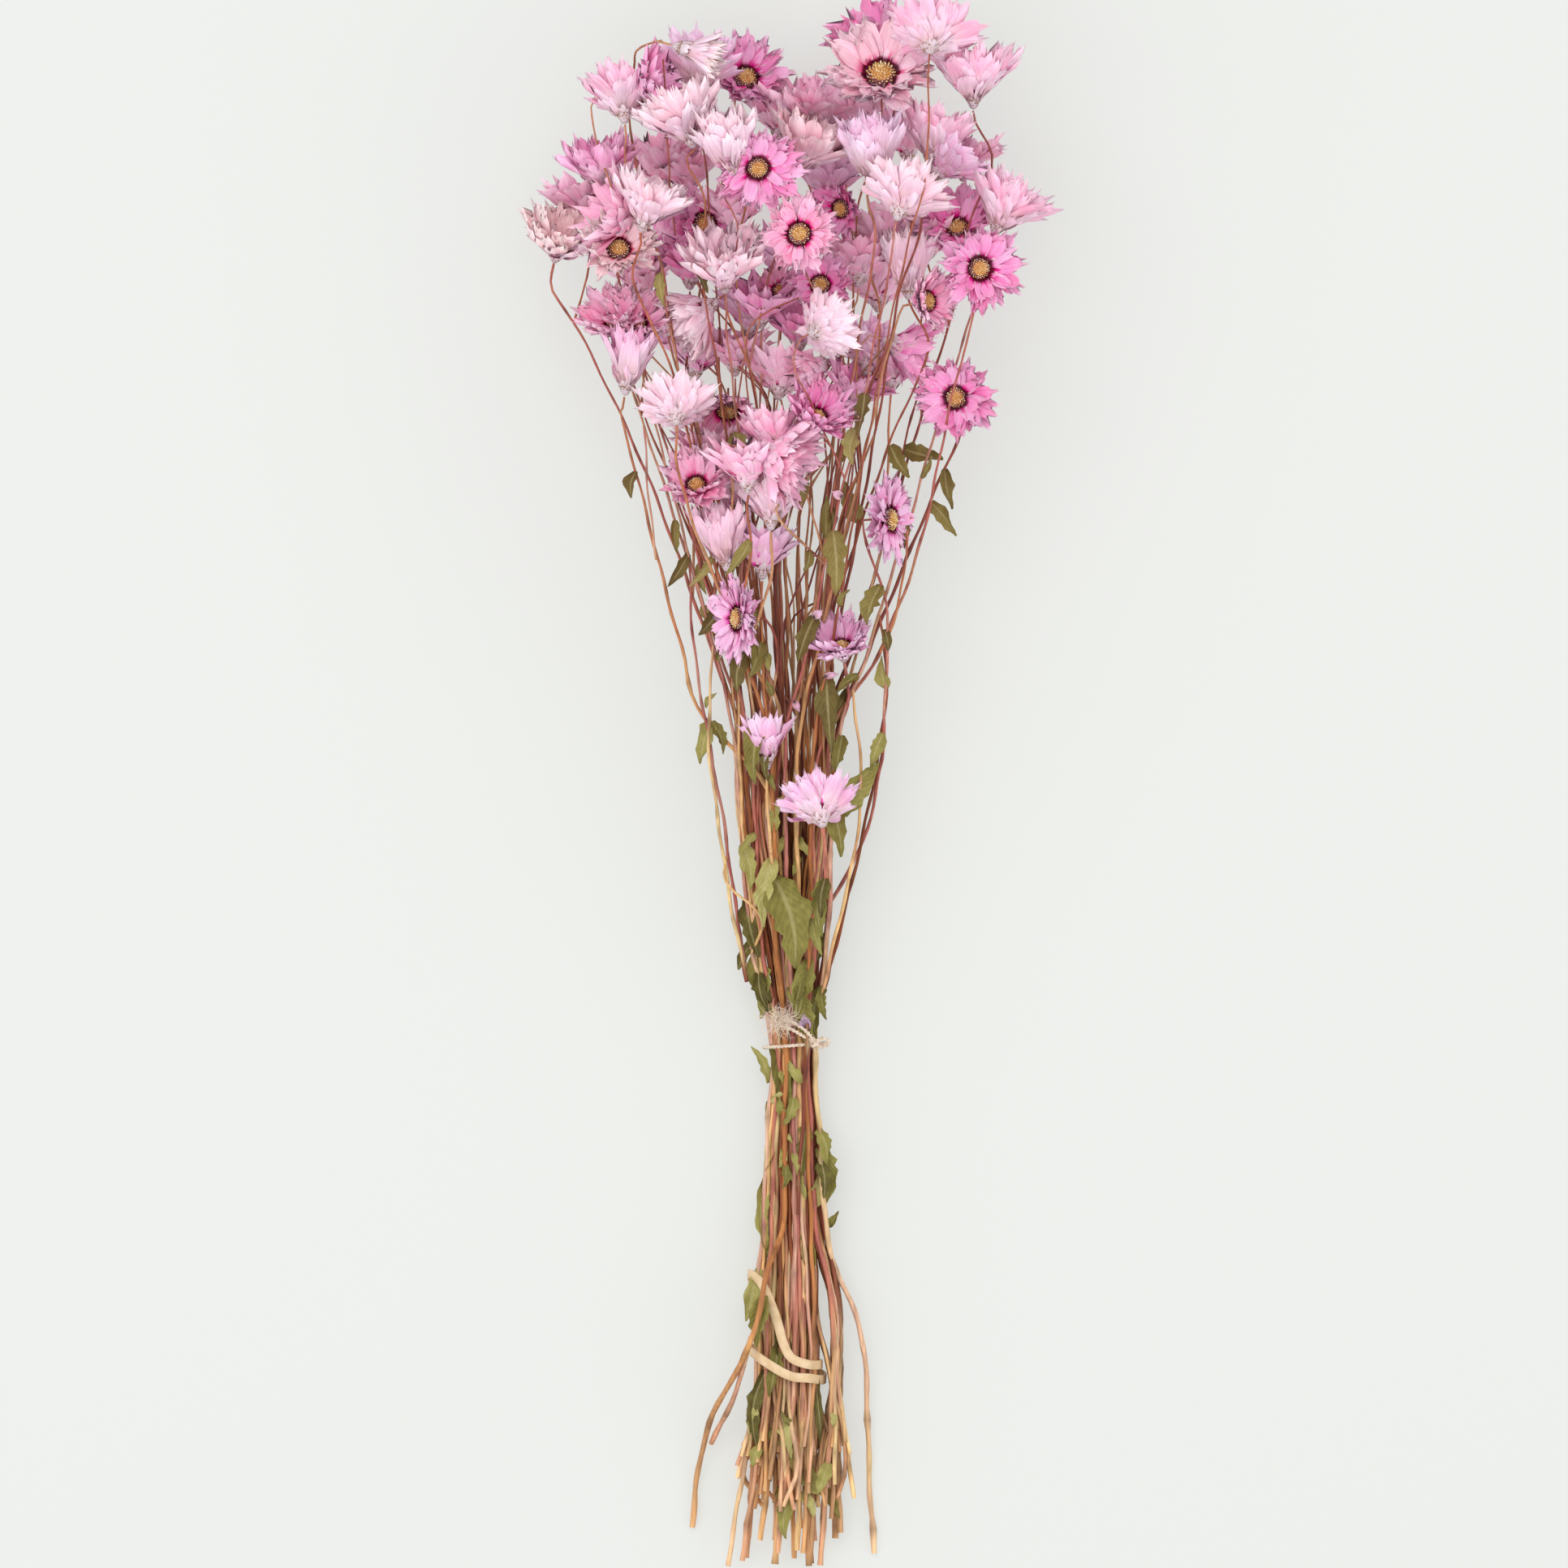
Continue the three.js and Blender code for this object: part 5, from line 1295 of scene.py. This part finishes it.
def scrap_rows(count):
    """Small dry leaves and bits of leaf, strewn along the stems with their tips mostly down."""
    draw = random_source(77)
    rows = []
    while len(rows) < count:
        place = stem_places[int(draw() * len(stem_places))]
        turned = -90 + 80 * (draw() - 0.5) + (180 if draw() < 0.25 else 0)
        length = 6 + 11 * draw() ** 1.5
        shape = (length, length * (0.30 + 0.22 * draw()), turned, 3 * draw() - 1)
        in_band = 62 < place.y < 116 or 184 < place.y < 206
        if 24 < place.y < 410 and not in_band and place.z > section_at(place.y)[2] - 4:
            rows.append((place.copy(), *shape))
    return rows


# %% One leaf
def leaf_mesh(name, root, length, width, heading, rise, rows=11, columns=6):
    draw = random_source(int(abs(root.x) * 100 + root.y * 70 + length))
    forward = Vector((math.cos(math.radians(heading)), math.sin(math.radians(heading)), 0))
    side = Vector((-forward.y, forward.x, 0))
    bend, twist, fold = 0.28 * (draw() - 0.5), 1.9 * (draw() - 0.5), 0.35 + 1.1 * draw()
    roll, wave, phase = 0.3 + 0.6 * draw(), 0.8 + 0.8 * draw(), 6.28 * draw()
    lobes = [[0.66 + 0.6 * draw() for _ in range(rows + 1)] for _ in range(2)]
    tops, bottoms, uvs = [], [], []
    for row in range(rows + 1):
        share = row / rows
        outline = max(math.sin(math.pi * min(0.10 + 0.9 * share**0.75, 1.0)), 0.05) ** 0.75
        middle = root + forward * (share * length) + side * (bend * length * math.sin(3 * share))
        middle.z += rise * share + 1.8 * min(share / 0.3, 1.0) + 1.0 * math.sin(4.5 * share + phase) * share
        turned = twist * share
        for column in range(columns + 1):
            across = 2 * column / columns - 1
            lobe = lobes[0 if across < 0 else 1][row]
            reach = 0.5 * width * outline * (1 + (lobe - 1) * abs(across))
            flat = across * (1 - 0.25 * roll * across * across)
            lift = fold * 0.5 * width * outline * abs(across) * (1 - 0.6 * roll * abs(across))
            lift += 0.07 * wave * width * math.sin(8 * share + 3 * across + phase) * abs(across)
            out = flat * reach * math.cos(turned) - lift * math.sin(turned)
            up = flat * reach * math.sin(turned) + lift * math.cos(turned)
            point = middle + side * out + Vector((0, 0, up + (0.10 if abs(across) < 0.1 else 0.0)))
            point.z = max(point.z, 0.45)
            tops.append(point)
            rim = column in (0, columns) or row == rows
            bottoms.append(None if rim else point - Vector((0, 0, 0.30)))
            uvs.append((column / columns, share))
    leaf = join_sides(name, tops, bottoms, uvs, rows, columns)
    leaf.data.materials.append(leaf_dry)
    values = [draw()] * len(leaf.data.vertices)
    leaf.data.attributes.new("tone", "FLOAT", "POINT").data.foreach_set("value", values)
    return settle(leaf, Matrix.Identity(4))


LEAF_STOPS = [
    (0.0, (66, 54, 24)), (0.22, (100, 90, 42)), (0.45, (134, 126, 60)), (0.68, (168, 160, 88)),
    (0.88, (198, 188, 124)), (1.0, (160, 124, 80)),
]


def leaf_material():
    material, tree = new_finish("leaf_dry", 0.7, 0.3)
    u, along, _ = parts_of(tree, add(tree, "ShaderNodeUVMap", uv_map="UVMap").outputs[0])
    under = maths(tree, "GREATER_THAN", u, 1.5) * 2.0
    off_rib = maths(tree, "ABSOLUTE", u - under - 0.5)
    side_veins = maths(tree, "SINE", along * 62.0 + off_rib * -34.0)
    mottle = stretched_noise(tree, 420.0, (1.0, 0.7, 1.0), 4.0)
    colour = ramp_of(tree, attribute(tree, "tone") * 0.6 + mottle * 0.4, LEAF_STOPS)
    # Leaves higher up the bunch have dried browner.
    _, height, _ = parts_of(tree, object_place(tree))
    colour = colour_mix(tree, smooth_step(height, -0.04, 0.10) * 0.42, colour, linear(132, 96, 60))
    colour = shade_of(tree, colour, side_veins * 0.08 + 0.93)
    colour = colour_mix(tree, smooth_step(off_rib, 0.075, 0.02) * 0.35, colour, linear(202, 188, 140))
    dress(tree, colour, side_veins * 0.3 + mottle, 0.5, 0.0003)
    return material


leaf_dry = leaf_material()
leaf_meshes = [leaf_mesh("leaf", leaf_root(row[0], row[1]), *row[2:]) for row in LEAVES]
leaf_meshes += [leaf_mesh("leaf_scrap", *row, rows=7, columns=4) for row in scrap_rows(96)]
# Long crumpled leaves that lie along the bundle, half under the stems.
LYING_LEAVES = [
    (-12.5, 105, 20, 9, -98, 0), (-3, 92, 34, 8, -88, 0), (-6.5, 76, 30, 7, -96, 0),
    (14, 70, 26, 6, -84, 0), (7, 128, 30, 6, -92, 1), (-8, 142, 30, 7, -88, 1),
    (-3.5, 193, 36, 7, -86, 1), (-8, 178, 15, 5, 118, 1), (9, 168, 24, 6, -97, 1),
    (19, 158, 22, 8, -85, 0), (-4, 172, 26, 8, -95, 1), (10, 226, 26, 9, -100, 1),
    (14, 214, 20, 8, -94, 1), (3, 216, 24, 9, -76, 1), (-12, 228, 24, 10, -84, 1),
    (-15, 246, 22, 9, -78, 1), (21, 246, 22, 8, -92, 0), (-2, 262, 26, 9, -96, 1),
    (8, 292, 30, 10, -70, 1), (-8, 316, 26, 9, -96, 1), (14, 330, 28, 9, -86, 1),
]
sunk = Vector((0, 0, 2.8))
leaf_meshes += [leaf_mesh("leaf_lying", leaf_root(row[0], row[1]) - sunk, *row[2:]) for row in LYING_LEAVES]

# %% Bracts that have fallen between the stems
# x, y, length, width, heading
FALLEN = [
    (8.6, 200.4, 6.8, 5.2, 100), (10.5, 354, 5, 4, 40), (16, 331, 6, 3, 10), (26, 396, 5, 4, 150),
    (-19, 349, 5, 4, 200), (-14, 306, 6, 4, 100), (2, 322, 5, 3, -60),
]
MAUVE = [(224, 196, 216), (206, 172, 202), (184, 144, 174), (160, 116, 140), (206, 174, 200)]
mauve_paper = paper_material("mauve_paper", MAUVE)


def fallen_bract(k, x, y, length, width, heading):
    bract = blade("fallen_bract", 50 + k, 0.5, 1.0, 0.25, 0.05, 0.84, columns=4)
    bract.data.materials.append(mauve_paper if k == 0 else SHINGLES["pink"])
    place = leaf_root(x, y) + Vector((0, 0, 2.6))
    sized = Matrix.Diagonal((length, width, length, 1.0))
    tipped = Matrix.Rotation(math.radians(heading), 4, "Z") @ Matrix.Rotation(-0.35, 4, "Y")
    values = [0.2 + 0.1 * k] * len(bract.data.vertices)
    bract.data.attributes.new("tone", "FLOAT", "POINT").data.foreach_set("value", values)
    return settle(bract, Matrix.Translation(place) @ tipped @ sized)


leaf_meshes += [fallen_bract(k, *row) for k, row in enumerate(FALLEN)]
stems_piece = one_piece("stems_and_leaves", [stem_mesh, *leaf_meshes])
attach(stems_piece, "root")
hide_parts("stems")
print("leaves:", len(leaf_meshes), "triangles with the stems:", triangles(stems_piece))

# %% [markdown]
# ## The twine tie
# One turn of natural twine holds the neck of the bunch. Twine is two plies laid round each other, so the
# path is drawn once and each ply winds round it as a helix. The knot sits on the upper right, with a
# small loop, and two ends run to a frayed tuft of loose fibres.

# %% The path of the twine
def round_bunch(middle, half, squareness, angle, outward):
    across = abs(math.cos(angle)) / (half[0] + outward)
    up = abs(math.sin(angle)) / (half[1] + outward)
    radius = (across**squareness + up**squareness) ** (-1 / squareness)
    return middle[0] + radius * math.cos(angle), middle[1] + radius * math.sin(angle)


tie_x, tie_half_width, tie_z, tie_half_height = section_at(TIE_Y)
TWINE_OUT = 2.55
knot_angle = math.radians(46)


def on_tie(angle, y, out):
    x, z = round_bunch((tie_x, tie_z), (tie_half_width, tie_half_height), 2, angle, out)
    return Vector((x, y, z))


knot = on_tie(knot_angle, TIE_Y + 0.9, TWINE_OUT + 0.5)
wrap = [on_tie(knot_angle + math.radians(2 + 16.9 * k), 0, TWINE_OUT) for k in range(22)]
for k, place in enumerate(wrap):
    place.y = TIE_Y + 0.8 * math.cos(knot_angle + math.radians(2 + 16.9 * k))


def from_knot(*offsets):
    return [knot + Vector(offset) for offset in offsets]


loop = from_knot((0, 0, 0.4), (3, 1.7, -0.4), (5.6, 0.5, -1.8), (3.2, -1.5, -1), (0, -0.2, 0))
first_end = from_knot((0.4, 0, 0.4), (-4, 2.6, 3.2), (-8.4, 5, 4), (-12.6, 6.8, 3.8))
second_end = from_knot((0.2, 0.4, 0.6), (-2.6, 4, 3.8), (-6.6, 7, 4.4), (-11, 9.2, 4.4))
knot_turn = from_knot(
    (-1.2, -0.9, 0.5), (-0.4, -1.1, 1.3), (0.9, -0.5, 1.2), (1.3, 0.6, 0.4), (0.4, 1.2, 0.5),
    (-0.9, 0.9, 1.1), (-1.4, -0.1, 0.9),
)

# %% Two plies round a path
def plies(points, seed, pitch=3.0, out=0.36, thick=0.40, spacing=0.55):
    draw = random_source(seed)
    length = sum((b - a).length for a, b in zip(points, points[1:]))
    places = smooth_points(points, max(8, round(length / spacing)))
    up, chains = Vector((0.3, 0.2, 1)), []
    phase = 6.28 * draw()
    for ply in range(2):
        chain = []
        for k, place in enumerate(places):
            along = (places[min(k + 1, len(places) - 1)] - places[max(k - 1, 0)]).normalized()
            side = along.cross(up).normalized()
            over = side.cross(along)
            angle = 6.28318 * (length * k / (len(places) - 1)) / pitch + math.pi * ply + phase
            shift = side * math.cos(angle) + over * math.sin(angle)
            chain.append((place + shift * out, thick * (0.92 + 0.16 * draw()), draw(), 0.0))
        chains.append(chain)
    return chains


def fibres(centre, count, seed, spread, reach):
    """Loose curling fibres that start near one place."""
    draw = random_source(seed)
    chains = []
    for _ in range(count):
        start = centre + Vector([width * (draw() - 0.5) for width in spread])
        heading, climb = 6.283 * draw(), 1.2 * (draw() - 0.4)
        step = reach * (0.5 + draw()) / 6
        place, tone, curl = start, draw(), 1.1 * (draw() - 0.5)
        chain = []
        for k in range(7):
            chain.append((place.copy(), 0.10 * (1 - 0.11 * k), 0.4 + 0.6 * tone, 0.0))
            heading += curl
            climb *= 0.8
            place = place + Vector((math.cos(heading), math.sin(heading), climb)) * step
        chains.append(chain)
    return chains


def twine_material():
    material, tree = new_finish("twine_fibre", 0.9, 0.2)
    grain = stretched_noise(tree, 1600.0, detail=2.0)
    value = attribute(tree, "tone") * 0.5 + grain * 0.5
    colour = ramp_of(tree, value, [(0.0, (170, 138, 110)), (0.4, (224, 202, 180)), (1.0, (252, 240, 228))])
    dress(tree, colour, grain, 0.6)
    return material


twine_fibre = twine_material()
twine_chains = []
for seed, path in enumerate(([*wrap, knot.copy()], loop, first_end, second_end, knot_turn), 1):
    twine_chains += plies(path, seed)
tuft = knot + Vector((-12.2, 8.0, 4.2))
twine_chains += fibres(tuft, 190, 6, (7.6, 4.6, 3.4), 6.0)
twine_chains += fibres(knot + Vector((0, 0, 1.0)), 14, 7, (3, 3, 1.0), 2.6)
twine_mesh = swept_piece("twine_swept", twine_chains, twine_fibre, 5)
twine_piece = one_piece("twine", [twine_mesh])
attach(twine_piece, "root")
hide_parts("twine_tie")
print("twine triangles:", triangles(twine_piece))

# %% [markdown]
# ## The rubber band
# A flat band winds twice round the lower part and slants across the front. A flat strip must know which
# way is out, so the strip is laid along the band's path, with its own width and thin rounded edges.

# %% The band
# angle round the bunch, place along it, lift over the turn below
BAND_TURNS = [
    (180, 108, 0), (135, 104.5, 0), (110, 92, 0), (93, 82, 0), (75, 77, 0), (45, 74.6, 0), (0, 74.8, 0),
    (-45, 75.5, 0), (-90, 77.5, 0), (-135, 80, 0), (-180, 80.5, 0), (-225, 76.5, 0), (-250, 73, 0),
    (-270, 71.2, 0), (-290, 70, 0), (-315, 69.6, 0), (-360, 69, 0.8), (-385, 70.5, 1.5),
    (-405, 73.5, 1.5), (-430, 79, 1.5), (-450, 85, 1.1), (-495, 98, 0),
]
band_x, band_z, band_half = BAND_MIDDLE[0], section_at(76)[2], (BAND_MIDDLE[1], section_at(76)[3])
band_path = []
for angle, y, lift in BAND_TURNS:
    x, z = round_bunch((band_x, band_z), band_half, 4, math.radians(angle), 1.85 + lift)
    band_path.append(Vector((x, y, z)))
BAND_WIDTH, BAND_THICKNESS = 3.4, 0.9


def closed_points(path, count):
    rounded = smooth_points([*path[-3:], *path, *path[:3]], 40 * (len(path) + 5))
    half = len(rounded) // 2

    def away(k):
        return (rounded[k] - path[0]).length

    start = min(range(half + 1), key=away)
    step = (min(range(half + 1, len(rounded)), key=away) - start) / count
    return [rounded[round(start + k * step)] for k in range(count)]


def band_profile(half, thick, edge=0.15):
    lower = [(-half, -0.4 * thick), (edge - half, -thick), (half - edge, -thick), (half, -0.4 * thick)]
    upper = [(half, 0.4 * thick), (half - edge, thick), (0, thick), (edge - half, thick)]
    return [*lower, *upper, (-half, 0.4 * thick)]


def band_piece(count=220):
    places = closed_points(band_path, count)
    profile = band_profile(BAND_WIDTH / 2, BAND_THICKNESS / 2)
    points, faces, size = [], [], len(profile)
    for k, place in enumerate(places):
        along = (places[(k + 1) % count] - places[k - 1]).normalized()
        out = Vector((place.x - band_x, 0, 1.6 * (place.z - band_z)))
        out = (out - along * out.dot(along)).normalized()
        wide = along.cross(out)
        points += [place + wide * a + out * b for a, b in profile]
        faces += ring_faces(k * size, ((k + 1) % count) * size, size)
    return put("band_strip", points, faces, [rubber_tan])


rubber_tan, rubber_tree = new_finish("rubber_tan", 0.48)
dust = stretched_noise(rubber_tree, 260.0, detail=4.0)
RUBBER_STOPS = [(0.25, (206, 172, 128)), (0.5, (224, 192, 150)), (0.8, (236, 212, 178))]
dress(rubber_tree, ramp_of(rubber_tree, dust, RUBBER_STOPS), dust, 0.25)
strip = band_piece()
band = one_piece("band", [settle(strip, Matrix.Identity(4))])
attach(band, "root")
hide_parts("rubber_band")
print("band triangles:", triangles(band))

# %% Remove the shapes used only for building
for kept in (long_bracts, far_bracts, short_scales):
    for shape in list(kept.objects):
        bpy.data.objects.remove(shape)
    bpy.data.collections.remove(kept)
bpy.data.objects.remove(floret)
